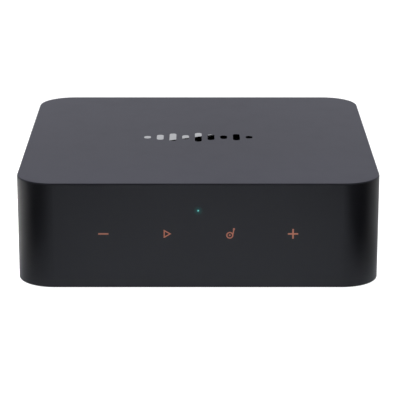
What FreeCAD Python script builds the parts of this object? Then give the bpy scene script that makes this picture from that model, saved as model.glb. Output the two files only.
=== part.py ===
"""Bluetooth audio receiver: a low, rounded-square box with touch controls in front and sockets at the back.

The housing is one moulded shell, open below and notched at the back. A rear panel closes the notch and a
base cover closes the underside, with a rubber ring set into it. Between them lie a steel weight plate, the
main board with its parts and sockets, and the touch board behind the front wall.

Millimetres. +X is right seen from the front, +Y is towards the back, +Z is up. The pieces are laid out about
the middle of the body, with Z = 0 at the resting plane. At the end all are moved by SHIFT, so that the origin
lies under the middle of the whole object's box, phono sockets included.
"""

import FreeCAD
import Part

import math
import os

from FreeCAD import Vector

# ---- Body ----
WIDTH = 140.0
DEPTH = 140.0
BODY_HEIGHT = 41.5
CORNER_R = 14.6
WALL = 2.4
ROOF = 2.6
TOP_EDGE_R = 0.5
BOTTOM_EDGE_R = 0.3

# ---- Foot and base cover ----
FOOT_PROUD = 0.5
FOOT_SUNK = 1.0
FOOT_WIDTH = 8.0
FOOT_INSET = 5.0
FOOT_FIT = 0.1
BASE_THICK = 2.6
BASE_FIT = 0.2
LABEL_WIDTH, LABEL_DEPTH, LABEL_SUNK, LABEL_R = 64.0, 36.0, 0.3, 3.0
VENT_COUNT, VENT_PITCH, VENT_WIDTH, VENT_LENGTH = 13, 5.0, 2.0, 12.0
UPSTAND_THICK, UPSTAND_HEIGHT = 1.2, 3.0

# ---- Bosses of the housing, and the screws that hold the base cover ----
BOSS_INSET = 10.0
BOSS_R = 3.5
BOSS_RIB = 1.2
CUP_R = 3.9
CUP_HEIGHT = 3.5
CUP_FLOOR = 2.0
CUP_GAP = 0.15
BASE_SCREW_R, BASE_SCREW_LENGTH, BASE_SCREW_HEAD_R, BASE_SCREW_HEAD = 1.3, 11.0, 2.3, 1.6
SCREW_TIGHT = 0.03
SCREW_CLEAR = 0.2
SCREW_TIP, CROSS_ARM, CROSS_SLOT = 0.4, 1.1, 0.26
PILOT_SPARE = 2.0

# ---- Rear panel ----
PANEL_SIDE = 2.4
PANEL_TOP_MARGIN = 5.5
PANEL_FIT = 0.15
PANEL_R = 2.0
PANEL_SKIN = 2.0
PANEL_RIM = 1.5
FLANGE_LAP = 2.0
FLANGE_THICK = 1.2
FLANGE_GAP = 0.1
PORT_MARGIN = 1.0
PORT_FIT = 0.1

# ---- Main board ----
BOARD_GAP = 4.5
BOARD_THICK = 1.6
BOARD_SIDE_GAP = 6.6
BOARD_FRONT_GAP = 9.6
BOARD_BACK_GAP = 0.3
BOARD_CORNER_GAP = 2.1
POST_R = 3.0
POST_FLOOR = 1.4
POST_INSET_X, POST_INSET_FRONT, POST_INSET_BACK = 11.0, 13.0, 26.0
BOARD_SCREW_R, BOARD_SCREW_LENGTH, BOARD_SCREW_HEAD_R, BOARD_SCREW_HEAD = 1.0, 4.8, 2.0, 1.4
WEIGHT_THICK, WEIGHT_WIDTH, WEIGHT_DEPTH, WEIGHT_R, WEIGHT_MIDDLE = 1.6, 84.0, 76.0, 4.0, -10.0
WEIGHT_RIM, WEIGHT_FIT = 1.2, 0.2

# ---- Front controls ----
ICON_ROW = 22.1
ICON_PITCH = 24.15
ICON_SUNK = 0.4
ICON_SIZE = 3.9
ICON_LINE = 0.6
PLAY_WIDTH, PLAY_HEIGHT, PLAY_LINE, PLAY_RIGHT = 2.9, 3.4, 0.42, 0.35
NOTE_R, NOTE_LINE, NOTE_DOT_R, NOTE_DROP = 1.35, 0.45, 0.35, 0.55
NOTE_STEM, NOTE_LEAN, NOTE_TIP_R = 2.5, 0.45, 0.4
LIGHT_UP = 9.25
LIGHT_R = 0.42
LIGHT_FLANGE_R, LIGHT_FLANGE, LIGHT_FIT = 1.6, 0.6, 0.03
WINDOW_SKIN = 0.9
GUIDE_WIDTH, GUIDE_HEIGHT, GUIDE_R, GUIDE_FIT, GUIDE_SETBACK = 90.0, 9.0, 1.5, 0.1, 0.2
TOUCH_GAP = 0.6
TOUCH_THICK = 1.0
TOUCH_WIDTH, TOUCH_BELOW, TOUCH_ABOVE = 100.0, 10.6, 12.4
STAKE_R, STAKE_HEAD_R, STAKE_HEAD, STAKE_INSET, STAKE_FIT = 0.75, 1.3, 0.45, 3.0, 0.1
ELECTRODE_R, ELECTRODE_HOLE_R, ELECTRODE_THICK = 4.0, 1.5, 0.15
LED_WIDTH, LED_HEIGHT, LED_THICK = 1.6, 0.8, 0.4
TOUCH_CHIP, TOUCH_CHIP_THICK = 5.0, 0.9
TOUCH_PART_WIDTH, TOUCH_PART_HEIGHT, TOUCH_PART_THICK = 0.8, 1.6, 0.5
TOUCH_PARTS_OUT, TOUCH_PARTS_UP = (-6.0, -4.5, 4.5, 6.0), (-2.0, 2.0)

# ---- Top badge: a row of sound-level bars ----
BADGE_BARS = (4.0, 8.0, 12.0, 6.5, 14.0, 9.0, 5.5, 10.0, 4.0)
BADGE_PITCH = 5.25
BADGE_BAR = 2.8
BADGE_THICK = 0.5
BADGE_FIT = 0.03
BADGE_MIDDLE = -0.8

# ---- Ribbon from the touch board to the main board ----
RIBBON_WIDTH, RIBBON_THICK, RIBBON_BEND_R, RIBBON_LIFT, RIBBON_IN = 8.0, 0.25, 3.5, 0.9, 2.5
RIBBON_FIT = 0.05
RIBBON_STRAIGHT = 1.0
SOCKET_WIDTH, SOCKET_LENGTH, SOCKET_THICK, SOCKET_INSET = 11.0, 4.5, 2.0, 1.0

# ---- Processor, its shield and its heat sink ----
PROCESSOR_X, PROCESSOR_Y = 12.0, -12.0
PROCESSOR_SIZE, PROCESSOR_THICK, PROCESSOR_MARGIN = 14.0, 1.2, 1.0
MEMORY_OUT, MEMORY_UP, MEMORY_WIDTH, MEMORY_DEPTH, MEMORY_THICK = 12.5, 2.0, 6.0, 9.0, 1.0
SHIELD_WIDTH, SHIELD_DEPTH, SHIELD_HEIGHT, SHIELD_SHEET, SHIELD_R = 36.0, 32.0, 2.8, 0.2, 1.0
SHIELD_HOLES, SHIELD_HOLE_WIDTH, SHIELD_HOLE_HEIGHT = (-9.0, 0.0, 9.0), 2.0, 0.6
PAD_WIDTH, PAD_DEPTH, PAD_THICK, PAD_R = 28.0, 24.0, 0.5, 1.0
SINK_WIDTH, SINK_DEPTH, SINK_BASE, SINK_FIN, SINK_FIN_HEIGHT, SINK_FINS = 42.0, 38.0, 2.0, 1.0, 7.0, 12
EAR_R, EAR_OUT_X, EAR_OUT_Y, EAR_LAP = 3.0, 23.0, 17.0, 1.0
PIN_R, PIN_HEAD_R, PIN_HEAD, PIN_TIP_R, PIN_FIT = 1.0, 1.9, 1.0, 1.35, 0.1
PIN_ROOM, PIN_BELOW, PIN_BARB, PIN_BARB_END_R, PIN_SLIT = 0.4, 1.3, 1.2, 0.6, 0.4

# ---- Wireless module, antennas and their leads ----
MODULE_X, MODULE_Y, MODULE_WIDTH, MODULE_DEPTH, MODULE_THICK = -36.0, -30.0, 15.0, 13.0, 2.3
MODULE_CARRIER, MODULE_MARGIN, MODULE_R = 0.8, 0.7, 0.6
AERIAL_PORT_R, AERIAL_PORT, AERIAL_PORT_X, AERIAL_PORT_Y = 1.0, 0.7, 4.0, 3.0
ANTENNA_LENGTH, ANTENNA_HEIGHT, ANTENNA_THICK, ANTENNA_GAP = 40.0, 12.0, 0.6, 0.1
ANTENNA_BOTTOM, ANTENNA_MIDDLE = 20.0, -8.0
LEAD_R, LEAD_BEND_R, LEAD_TOUCH, LEAD_FRONT = 0.565, 5.0, 0.02, -50.0
CAP_R, CAP_HEIGHT, CAP_FIT = 1.4, 2.1, 0.05

# ---- Other parts of the main board. Those on the left and right are placed by their distance in from
# that edge of the board and by their Y ----
CHIP_LIFT, LEG_SHARE, LEG_LENGTH, LEG_THICK = 0.1, 0.4, 0.5, 0.15
DAC_IN, DAC_Y, DAC_WIDTH, DAC_DEPTH, DAC_THICK, DAC_LEGS = 31.0, 18.0, 9.0, 6.0, 1.2, 12
DRIVER_GAP, DRIVER_WIDTH, DRIVER_DEPTH, DRIVER_THICK, DRIVER_LEGS = 4.0, 5.0, 4.0, 1.5, 4
NETWORK_Y, NETWORK_SIZE, NETWORK_THICK = 32.0, 7.0, 0.9
LINE_CANS = ((11.0, 27.0), (19.0, 27.0), (27.0, 30.0), (11.0, 18.0), (19.0, 16.0))
LINE_CAN_R, LINE_CAN_HEIGHT = 2.6, 6.0
POWER_CANS = ((19.0, 22.0), (28.0, 22.0))
POWER_CAN_R, POWER_CAN_HEIGHT, INPUT_CAN_OUT, INPUT_CAN_Y = 3.2, 7.7, 3.0, 50.0
CAN_EDGE_R, CAN_BASE, CAN_BASE_OVER, CAN_BASE_R = 0.4, 1.0, 0.3, 0.6
CRIMP_LOW, CRIMP_HIGH, CRIMP_DEEP = 1.8, 2.4, 0.3
COILS = ((11.0, 30.0), (19.0, 32.5), (11.0, 14.0), (19.0, 12.0))
COIL_SIZE, COIL_THICK, COIL_CORNER_R = 6.6, 3.0, 1.4
COIL_GROOVE_R, COIL_GROOVE, COIL_GROOVE_DEEP = 2.4, 0.3, 0.2
CRYSTAL_LONG, CRYSTAL_LONG_DEPTH, CRYSTAL_SHORT, CRYSTAL_SHORT_DEPTH = 11.0, 4.6, 5.0, 3.2
CRYSTAL_FOOT, CRYSTAL_FOOT_OVER, CRYSTAL_HEIGHT = 0.4, 0.4, 2.9
CRYSTAL_OUT, CRYSTAL_UP, DAC_CRYSTAL_DOWN = 30.0, (6.0, -8.0), 10.0
LINE_ROWS = ((5.0, 6.0, 5), (31.0, 27.0, 4))
SMALL_ROWS = ((-20.0, -44.0, 6), (14.0, 18.0, 6), (22.0, -42.0, 6), (2.0, 40.0, 6))
SMALL_PITCH, SMALL_WIDTH, SMALL_LENGTH, SMALL_THICK = 2.6, 0.9, 1.8, 0.6
SMALL_CAP, SMALL_CAP_OVER = 0.4, 0.05

# ---- Phono sockets ----
PHONO_AXIS = 6.0
PHONO_PITCH = 14.0
PHONO_BLOCK_WIDTH, PHONO_BLOCK_DEPTH, PHONO_BLOCK_OVER = 11.0, 12.0, 6.5
PHONO_R = 4.15
PHONO_WALL = 0.55
PHONO_REACH = 8.5
PHONO_CHAMFER = 0.3
PHONO_BASE_STEP, PHONO_BASE = 0.45, 1.2
PHONO_COLLAR_STEP, PHONO_COLLAR = 0.6, 0.8
PHONO_GROOVE = 1.5
PHONO_CORE_SETBACK = 0.5
SLIDE_FIT = 0.05
CONTACT_R, CONTACT_WALL, CONTACT_SETBACK, CONTACT_FLOOR = 1.65, 0.5, 0.8, 1.2
CONTACT_LENGTH, CONTACT_LIP, CONTACT_LIP_GAP = 10.2, 0.4, 0.1
TAIL_R, TAIL_LENGTH = 0.6, 3.5
PHONO_BLOCK_STEP = 3.0

# ---- Optical sockets with their sprung doors ----
MOUTH = 8.2
MOUTH_CUT = 1.4
MOUTH_LIP = 1.8
OPTICAL_SIDE, OPTICAL_FLOOR, OPTICAL_ROOF, OPTICAL_DEPTH = 0.75, 0.8, 0.75, 16.0
DOOR_THICK = 0.8
DOOR_FIT = 0.15
HINGE_IN, HINGE_UP, HINGE_HEADROOM = 2.7, 0.85, 0.8
HINGE_R, HINGE_CLEAR, HINGE_END, HINGE_END_GAP = 0.5, 0.03, 0.4, 0.05
DOOR_REAR_GAP = 0.5
SPRING_WIRE_R, SPRING_PIN_R, SPRING_PIN_LAP = 0.1, 0.3, 0.1
SPRING_TURNS, SPRING_PITCH, SPRING_ARM = 5, 0.4, 4.0
NOTCH_HALF, NOTCH_DROP = 1.25, 0.68
FERRULE_R, FERRULE_DEPTH = 1.6, 2.0
OPTO_SIZE, OPTO_DEPTH, OPTO_FIT, OPTO_LENS_R, OPTO_LENS = 5.0, 2.6, 0.05, 1.2, 0.8
OPTO_LEADS, OPTO_LEAD_PITCH, OPTO_LEAD_WIDTH, OPTO_LEAD_THICK = 3, 1.27, 0.5, 0.25

# ---- Network socket ----
LAN_WIDTH, LAN_HEIGHT, LAN_DEPTH, LAN_PROUD, LAN_SHEET = 16.0, 13.4, 21.0, 0.4, 0.3
LAN_MOUTH_WIDTH, LAN_MOUTH_HEIGHT, LAN_MOUTH_DEPTH, LAN_MOUTH_UP = 11.9, 7.0, 13.0, 3.6
LATCH_WIDTH, LATCH_DEPTH = 6.2, 2.3
LAN_PINS, LAN_PIN_PITCH, LAN_PIN, LAN_SLOT, LAN_SLOT_FIT = 8, 1.016, 0.35, 0.5, 0.07
LAN_PIN_IN, LAN_PIN_END, LAN_PIN_DROP = 1.6, 9.6, 2.5
LAN_LIGHT_WIDTH, LAN_LIGHT_HEIGHT, LAN_LIGHT_DEPTH, LAN_LIGHT_OUT, LAN_LIGHT_UP = 2.4, 1.7, 1.5, 5.6, 1.8

# ---- Power socket (USB type C) ----
USB_WIDTH, USB_HEIGHT, USB_DEPTH, USB_SHEET, USB_SETBACK = 8.94, 3.2, 7.4, 0.3, 0.2
USB_REAR, TONGUE_WIDTH, TONGUE_THICK, TONGUE_LENGTH = 1.4, 6.69, 0.7, 4.45
USB_FIT = 0.02
RECESS_WIDTH, RECESS_HEIGHT, RECESS_DEPTH = 12.8, 7.0, 0.8

# ---- Trigger socket (3.5 mm) ----
TRIGGER_WIDTH, TRIGGER_HEIGHT, TRIGGER_DEPTH, TRIGGER_PROUD = 8.0, 6.4, 14.0, 0.3
TRIGGER_R, SLEEVE_WALL, SLEEVE_LENGTH, NOSE_WALL = 1.8, 0.5, 3.3, 0.7
TRIGGER_INNER_STEP, TRIGGER_FLOOR = 0.35, 1.5

# ---- Worked-out places ----
BODY_BOTTOM = FOOT_PROUD
BODY_TOP = BODY_BOTTOM + BODY_HEIGHT
BASE_TOP = BODY_BOTTOM + BASE_THICK
ROOF_UNDER = BODY_TOP - ROOF
INNER_X, INNER_Y = WIDTH / 2 - WALL, DEPTH / 2 - WALL
FRONT, BACK = -DEPTH / 2, DEPTH / 2
SHIFT = Vector(0, -PHONO_REACH / 2, 0)
CORNERS = [(side, end) for side in (-1, 1) for end in (-1, 1)]
BOSS_X, BOSS_Y = WIDTH / 2 - BOSS_INSET, DEPTH / 2 - BOSS_INSET
BOSS_BOTTOM = BASE_TOP + CUP_HEIGHT + CUP_GAP
CUP_SEAT = BASE_TOP + CUP_HEIGHT - CUP_FLOOR
BOARD_BOTTOM = BASE_TOP + BOARD_GAP
BOARD_TOP = BOARD_BOTTOM + BOARD_THICK
PANEL_WIDTH = WIDTH - 2 * CORNER_R - 2 * PANEL_SIDE
PANEL_TOP = BODY_TOP - PANEL_TOP_MARGIN
PANEL_FRONT = INNER_Y - FLANGE_GAP - FLANGE_THICK
BASE_BACK = PANEL_FRONT - BASE_FIT
BOARD_X = INNER_X - BOARD_SIDE_GAP
BOARD_FRONT, BOARD_BACK = -INNER_Y + BOARD_FRONT_GAP, PANEL_FRONT - BOARD_BACK_GAP
POSTS = [(side * (BOARD_X - POST_INSET_X), y) for side in (-1, 1)
         for y in (BOARD_FRONT + POST_INSET_FRONT, BOARD_BACK - POST_INSET_BACK)]
TOUCH_FRONT = -INNER_Y + TOUCH_GAP
TOUCH_BACK = TOUCH_FRONT + TOUCH_THICK
TOUCH_BOTTOM, TOUCH_TOP = ICON_ROW - TOUCH_BELOW, ICON_ROW + TOUCH_ABOVE
STAKES = [(side * (TOUCH_WIDTH / 2 - STAKE_INSET), z) for side in (-1, 1)
          for z in (TOUCH_BOTTOM + STAKE_INSET, TOUCH_TOP - STAKE_INSET)]
ICON_X = {"minus": -1.5 * ICON_PITCH, "play": -0.5 * ICON_PITCH, "preset": 0.5 * ICON_PITCH,
          "plus": 1.5 * ICON_PITCH}
LIGHT_ROW = ICON_ROW + LIGHT_UP
SHIELD_TOP = BOARD_TOP + SHIELD_HEIGHT
SINK_BOTTOM = SHIELD_TOP + PAD_THICK
EARS = [(PROCESSOR_X + s * EAR_OUT_X, PROCESSOR_Y + s * EAR_OUT_Y) for s in (-1, 1)]
MODULE_TOP = BOARD_TOP + MODULE_THICK
PHONO_LOW = BOARD_TOP + PHONO_AXIS
PHONO_HIGH = PHONO_LOW + PHONO_PITCH
PHONO_TIP = BACK + PHONO_REACH
PHONO_BASE_R = PHONO_R + PHONO_BASE_STEP
PHONO_COLLAR_R = PHONO_BASE_R + PHONO_COLLAR_STEP
PHONO_CORE_R = PHONO_R - PHONO_WALL - SLIDE_FIT
PHONO_CORE_TIP = PHONO_TIP - PHONO_CORE_SETBACK
CONTACT_TIP = PHONO_CORE_TIP - CONTACT_SETBACK
CONTACT_BACK = CONTACT_TIP - CONTACT_LENGTH
OPTICAL_WIDTH = MOUTH + 2 * OPTICAL_SIDE
MOUTH_Z = BOARD_TOP + OPTICAL_FLOOR + MOUTH / 2
HINGE_Y, HINGE_Z = BACK - HINGE_IN, MOUTH_Z + MOUTH / 2 + HINGE_UP
DOOR_X, DOOR_BOTTOM = MOUTH / 2 - DOOR_FIT, MOUTH_Z - MOUTH / 2 + DOOR_FIT
CAVITY_TOP = HINGE_Z + HINGE_HEADROOM
CAVITY_END = HINGE_Y - (HINGE_Z - DOOR_BOTTOM) - DOOR_REAR_GAP
OPTICAL_TOP = CAVITY_TOP + OPTICAL_ROOF
LAN_FRONT = BACK + LAN_PROUD
LAN_MOUTH_Z = BOARD_TOP + LAN_MOUTH_UP
USB_Z = BOARD_TOP + USB_HEIGHT / 2
USB_FRONT = BACK - USB_SETBACK
TRIGGER_Z = BOARD_TOP + TRIGGER_HEIGHT / 2
TRIGGER_TIP = BACK + TRIGGER_PROUD
RIBBON_Y, RIBBON_Z = TOUCH_BACK + RIBBON_LIFT, BOARD_TOP + RIBBON_LIFT
UPPER_SOCKET_Z = RIBBON_Z + RIBBON_BEND_R + RIBBON_STRAIGHT
LOWER_SOCKET_Y = BOARD_FRONT + SOCKET_INSET
DAC_X = DAC_IN - BOARD_X


def port_places():
    """The middle of each socket along X, in a row with even gaps that fills the rear panel."""
    row = [("line_out", PHONO_BLOCK_WIDTH), ("line_in", PHONO_BLOCK_WIDTH), ("coax", PHONO_BLOCK_WIDTH),
           ("optical_out", OPTICAL_WIDTH), ("optical_in", OPTICAL_WIDTH), ("trigger", TRIGGER_WIDTH),
           ("lan", LAN_WIDTH), ("usb", RECESS_WIDTH)]
    room = PANEL_WIDTH - 2 * PORT_MARGIN
    gap = (room - sum(width for name, width in row)) / (len(row) - 1)
    places = {}
    left = -room / 2
    for name, width in row:
        places[name] = left + width / 2
        left += width + gap
    return places


PORT_X = port_places()
LEFT_AXES = [(PORT_X["line_out"], PHONO_HIGH), (PORT_X["line_in"], PHONO_HIGH)]
RIGHT_AXES = [(PORT_X["line_out"], PHONO_LOW), (PORT_X["line_in"], PHONO_LOW)]
COAX_AXES = [(PORT_X["coax"], PHONO_LOW)]
PHONO_AXES = LEFT_AXES + RIGHT_AXES + COAX_AXES


# ---- Shape helpers ----
def box(x, y, z):
    """A block between the given (low, high) pairs."""
    return Part.makeBox(x[1] - x[0], y[1] - y[0], z[1] - z[0], Vector(x[0], y[0], z[0]))


def span(middle, size):
    return (middle - size / 2, middle + size / 2)


def rod(radius, start, end):
    """A round bar between two points."""
    along = Vector(*end) - Vector(*start)
    return Part.makeCylinder(radius, along.Length, Vector(*start), along)


def tube(outer, inner, start, end):
    return rod(outer, start, end).cut(rod(inner, start, end))


def rear_rod(radius, axis, y):
    """A round bar along Y on the axis (x, z)."""
    return rod(radius, (axis[0], y[0], axis[1]), (axis[0], y[1], axis[1]))


def rear_tube(outer, inner, axis, y):
    return rear_rod(outer, axis, y).cut(rear_rod(inner, axis, y))


def outward(solid):
    """The same solid with its skin facing out."""
    if solid.Volume < 0:
        solid.reverse()
    return solid


def rounded_face(width, height, radius, point):
    """A rectangle with rounded corners. point(u, v) puts its flat coordinates in space."""
    half_w, half_h = width / 2, height / 2
    bulge = radius * (1 - math.sqrt(0.5))
    arcs = []
    for side, end in ((1, 1), (-1, 1), (-1, -1), (1, -1)):
        upright = point(side * half_w, end * (half_h - radius))
        level = point(side * (half_w - radius), end * half_h)
        middle = point(side * (half_w - bulge), end * (half_h - bulge))
        arcs.append((upright, middle, level) if side == end else (level, middle, upright))
    edges = []
    for arc, following in zip(arcs, arcs[1:] + arcs[:1]):
        edges.append(Part.Arc(*arc).toShape())
        if arc[2].distanceToPoint(following[0]) > 1e-6:
            edges.append(Part.makeLine(arc[2], following[0]))
    return Part.Face(Part.Wire(edges))


def slab(width, depth, radius, z, centre=(0, 0)):
    """An upright prism with rounded vertical edges."""
    face = rounded_face(width, depth, radius, lambda u, v: Vector(centre[0] + u, centre[1] + v, z[0]))
    return outward(face.extrude(Vector(0, 0, z[1] - z[0])))


def rear_prism(width, height, radius, centre, y):
    """A prism along Y with rounded edges, centred on (x, z)."""
    face = rounded_face(width, height, radius, lambda u, v: Vector(centre[0] + u, y[0], centre[1] + v))
    return outward(face.extrude(Vector(0, y[1] - y[0], 0)))


def polygon_prism(points, along):
    """The prism that a closed polygon sweeps along a vector."""
    wire = Part.makePolygon([Vector(*p) for p in points + points[:1]])
    return outward(Part.Face(wire).extrude(along))


def joined(first, *others):
    shape = first.fuse(list(others)).removeSplitter()
    return shape.Solids[0] if len(shape.Solids) == 1 else shape


def group(solids):
    return Part.Compound(list(solids))


def moved(shape, x=0, y=0, z=0):
    copy = shape.copy()
    copy.translate(Vector(x, y, z))
    return copy


def edges_at(solid, z):
    """The edges that lie wholly at one height."""
    return [e for e in solid.Edges if abs(e.BoundBox.ZMin - z) < 1e-4 and abs(e.BoundBox.ZMax - z) < 1e-4]


def bent_path(points, radius):
    """A wire through the points with its corners rounded."""
    points = [Vector(*p) for p in points]
    edges = []
    start = points[0]
    for before, corner, after in zip(points, points[1:], points[2:]):
        back, ahead = (before - corner).normalize(), (after - corner).normalize()
        half = back.getAngle(ahead) / 2
        enter, leave = (corner + way * (radius / math.tan(half)) for way in (back, ahead))
        middle = corner + (back + ahead).normalize() * (radius / math.sin(half) - radius)
        edges.append(Part.makeLine(start, enter))
        edges.append(Part.Arc(enter, middle, leave).toShape())
        start = leave
    edges.append(Part.makeLine(start, points[-1]))
    return Part.Wire(edges)


def screw(radius, length, head_r, head, seat, up):
    """A screw whose round head stands on seat, above it when up is 1 and below it when up is -1."""
    x, y, z = seat
    top = z + up * head
    body = rod(head_r, seat, (x, y, top))
    body = body.makeFillet(head / 2, edges_at(body, top))
    shank = rod(radius, seat, (x, y, z - up * length))
    tip = Part.makeCone(radius, radius * SCREW_TIP, radius, Vector(x, y, z - up * length), Vector(0, 0, -up))
    arm, slot = head_r * CROSS_ARM, head_r * CROSS_SLOT
    cross = [box(span(x, wide), span(y, deep), span(top, head)) for wide, deep in ((arm, slot), (slot, arm))]
    return joined(body, shank, tip).cut(cross)


# ---- Housing, badge and icons ----
def badge_bars(grow):
    z = (BODY_TOP - BADGE_THICK, BODY_TOP + grow)
    first = -BADGE_PITCH * (len(BADGE_BARS) - 1) / 2
    width = BADGE_BAR + 2 * grow
    return [slab(width, length + 2 * grow, width / 2, z, (first + i * BADGE_PITCH, BADGE_MIDDLE))
            for i, length in enumerate(BADGE_BARS)]


def minus_icon(x, y):
    return box(span(x, ICON_SIZE), y, span(ICON_ROW, ICON_LINE))


def plus_icon(x, y):
    return joined(minus_icon(x, y), box(span(x, ICON_LINE), y, span(ICON_ROW, ICON_SIZE)))


def play_icon(x, y):
    """A triangle outline that points right."""
    left, right = span(x + PLAY_RIGHT, PLAY_WIDTH)
    low, high = span(ICON_ROW, PLAY_HEIGHT)
    deep = Vector(0, y[1] - y[0], 0)
    outside = [(left, y[0], low), (right, y[0], ICON_ROW), (left, y[0], high)]
    middle = (left + PLAY_WIDTH / 3, ICON_ROW)
    inset = 1 - PLAY_LINE / (PLAY_WIDTH / 3)
    inside = [(middle[0] + (px - middle[0]) * inset, py, middle[1] + (pz - middle[1]) * inset)
              for px, py, pz in outside]
    return polygon_prism(outside, deep).cut(polygon_prism(inside, deep))


def preset_icon(x, y):
    """A ring with a dot in it and a stem that leans to the right as it rises, like a note."""
    ring_z = ICON_ROW - NOTE_DROP
    foot = span(x + NOTE_R - NOTE_LINE / 2, NOTE_LINE)
    top = span(x + NOTE_R + NOTE_LEAN - NOTE_LINE / 2, NOTE_LINE)
    ring = rear_tube(NOTE_R, NOTE_R - NOTE_LINE, (x, ring_z), y)
    stem_top = ring_z + NOTE_STEM
    outline = [(foot[0], y[0], ring_z), (foot[1], y[0], ring_z),
               (top[1], y[0], stem_top), (top[0], y[0], stem_top)]
    stem = polygon_prism(outline, Vector(0, y[1] - y[0], 0)).cut(rear_rod(NOTE_R - NOTE_LINE, (x, ring_z), y))
    tip = rear_rod(NOTE_TIP_R, (sum(top) / 2, stem_top), y)
    return group([joined(ring, stem, tip), rear_rod(NOTE_DOT_R, (x, ring_z), y)])


def icons():
    y = (FRONT, FRONT + ICON_SUNK)
    return {"minus_icon": minus_icon(ICON_X["minus"], y), "play_icon": play_icon(ICON_X["play"], y),
            "preset_icon": preset_icon(ICON_X["preset"], y), "plus_icon": plus_icon(ICON_X["plus"], y)}


def light_guide():
    y = (FRONT + WINDOW_SKIN, -INNER_Y - GUIDE_SETBACK)
    return rear_prism(GUIDE_WIDTH, GUIDE_HEIGHT, GUIDE_R, (0, ICON_ROW), y)


def light_pipe(grow):
    """The pipe that carries the status light through the front wall, with its flange sunk in the wall."""
    axis = (0, LIGHT_ROW)
    pipe = rear_rod(LIGHT_R + grow, axis, (FRONT, -INNER_Y))
    return joined(pipe, rear_rod(LIGHT_FLANGE_R + grow, axis, (-INNER_Y - LIGHT_FLANGE - grow, -INNER_Y)))


def boss(side, end):
    """A screw boss under the roof, tied to both walls near it by ribs."""
    x, y = side * BOSS_X, end * BOSS_Y
    pillar = rod(BOSS_R, (x, y, BOSS_BOTTOM), (x, y, ROOF_UNDER))
    pilot_top = CUP_SEAT + BASE_SCREW_LENGTH + PILOT_SPARE
    pilot = rod(BASE_SCREW_R + SCREW_TIGHT, (x, y, BOSS_BOTTOM), (x, y, pilot_top))
    z = (BOSS_BOTTOM + BASE_THICK, ROOF_UNDER)
    rib_x = box(sorted((x, side * INNER_X)), span(y, BOSS_RIB), z)
    rib_y = box(span(x, BOSS_RIB), sorted((y, end * INNER_Y)), z)
    return joined(pillar, rib_x, rib_y).cut(pilot)


def stake(x, z):
    """A plastic stake that holds the touch board, with its melted head."""
    shoulder = rear_rod(STAKE_HEAD_R, (x, z), (-INNER_Y, TOUCH_FRONT))
    shank = rear_rod(STAKE_R, (x, z), (-INNER_Y, TOUCH_BACK + STAKE_HEAD))
    head = rear_rod(STAKE_HEAD_R, (x, z), (TOUCH_BACK, TOUCH_BACK + STAKE_HEAD))
    return [shoulder, shank, head]


def housing():
    shell = slab(WIDTH, DEPTH, CORNER_R, (BODY_BOTTOM, BODY_TOP))
    shell = shell.makeFillet(TOP_EDGE_R, edges_at(shell, BODY_TOP))
    shell = shell.makeFillet(BOTTOM_EDGE_R, edges_at(shell, BODY_BOTTOM))
    hollow = slab(2 * INNER_X, 2 * INNER_Y, CORNER_R - WALL, (BODY_BOTTOM - 1, ROOF_UNDER))
    notch_height = 2 * (PANEL_TOP - BODY_BOTTOM)
    notch = rear_prism(PANEL_WIDTH, notch_height, PANEL_R, (0, BODY_BOTTOM), (INNER_Y - 1, BACK + 1))
    shell = shell.cut([hollow, notch])
    limits = slab(WIDTH, DEPTH, CORNER_R, (BODY_BOTTOM, BODY_TOP - ROOF / 2))
    bosses = [boss(side, end).common(limits) for side, end in CORNERS]
    stakes = [piece for x, z in STAKES for piece in stake(x, z)]
    shell = joined(shell, *bosses, *stakes)
    guide_y = (FRONT + WINDOW_SKIN, -INNER_Y)
    guide = rear_prism(GUIDE_WIDTH + 2 * GUIDE_FIT, GUIDE_HEIGHT + 2 * GUIDE_FIT, GUIDE_R, (0, ICON_ROW),
                       guide_y)
    return shell.cut([guide, light_pipe(LIGHT_FIT), *icons().values(), *badge_bars(BADGE_FIT)])


# ---- Touch board behind the front wall ----
def touch_board():
    board = rear_prism(TOUCH_WIDTH, TOUCH_TOP - TOUCH_BOTTOM, 1, (0, (TOUCH_TOP + TOUCH_BOTTOM) / 2),
                       (TOUCH_FRONT, TOUCH_BACK))
    return board.cut([rear_rod(STAKE_R + STAKE_FIT, place, (TOUCH_FRONT, TOUCH_BACK)) for place in STAKES])


def touch_electrodes():
    y = (TOUCH_FRONT - ELECTRODE_THICK, TOUCH_FRONT)
    return group(rear_tube(ELECTRODE_R, ELECTRODE_HOLE_R, (x, ICON_ROW), y) for x in ICON_X.values())


def touch_leds():
    places = [(x, ICON_ROW) for x in ICON_X.values()] + [(0, LIGHT_ROW)]
    y = (TOUCH_FRONT - LED_THICK, TOUCH_FRONT)
    return group(box(span(x, LED_WIDTH), y, span(z, LED_HEIGHT)) for x, z in places)


def touch_controller():
    """The touch controller on the back of the touch board, with the small parts beside it."""
    chip = box(span(ICON_PITCH, TOUCH_CHIP), (TOUCH_BACK, TOUCH_BACK + TOUCH_CHIP_THICK),
               span(ICON_ROW, TOUCH_CHIP))
    y = (TOUCH_BACK, TOUCH_BACK + TOUCH_PART_THICK)
    small = [box(span(ICON_PITCH + out, TOUCH_PART_WIDTH), y, span(ICON_ROW + up, TOUCH_PART_HEIGHT))
             for out in TOUCH_PARTS_OUT for up in TOUCH_PARTS_UP]
    return group([chip] + small)


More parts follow.
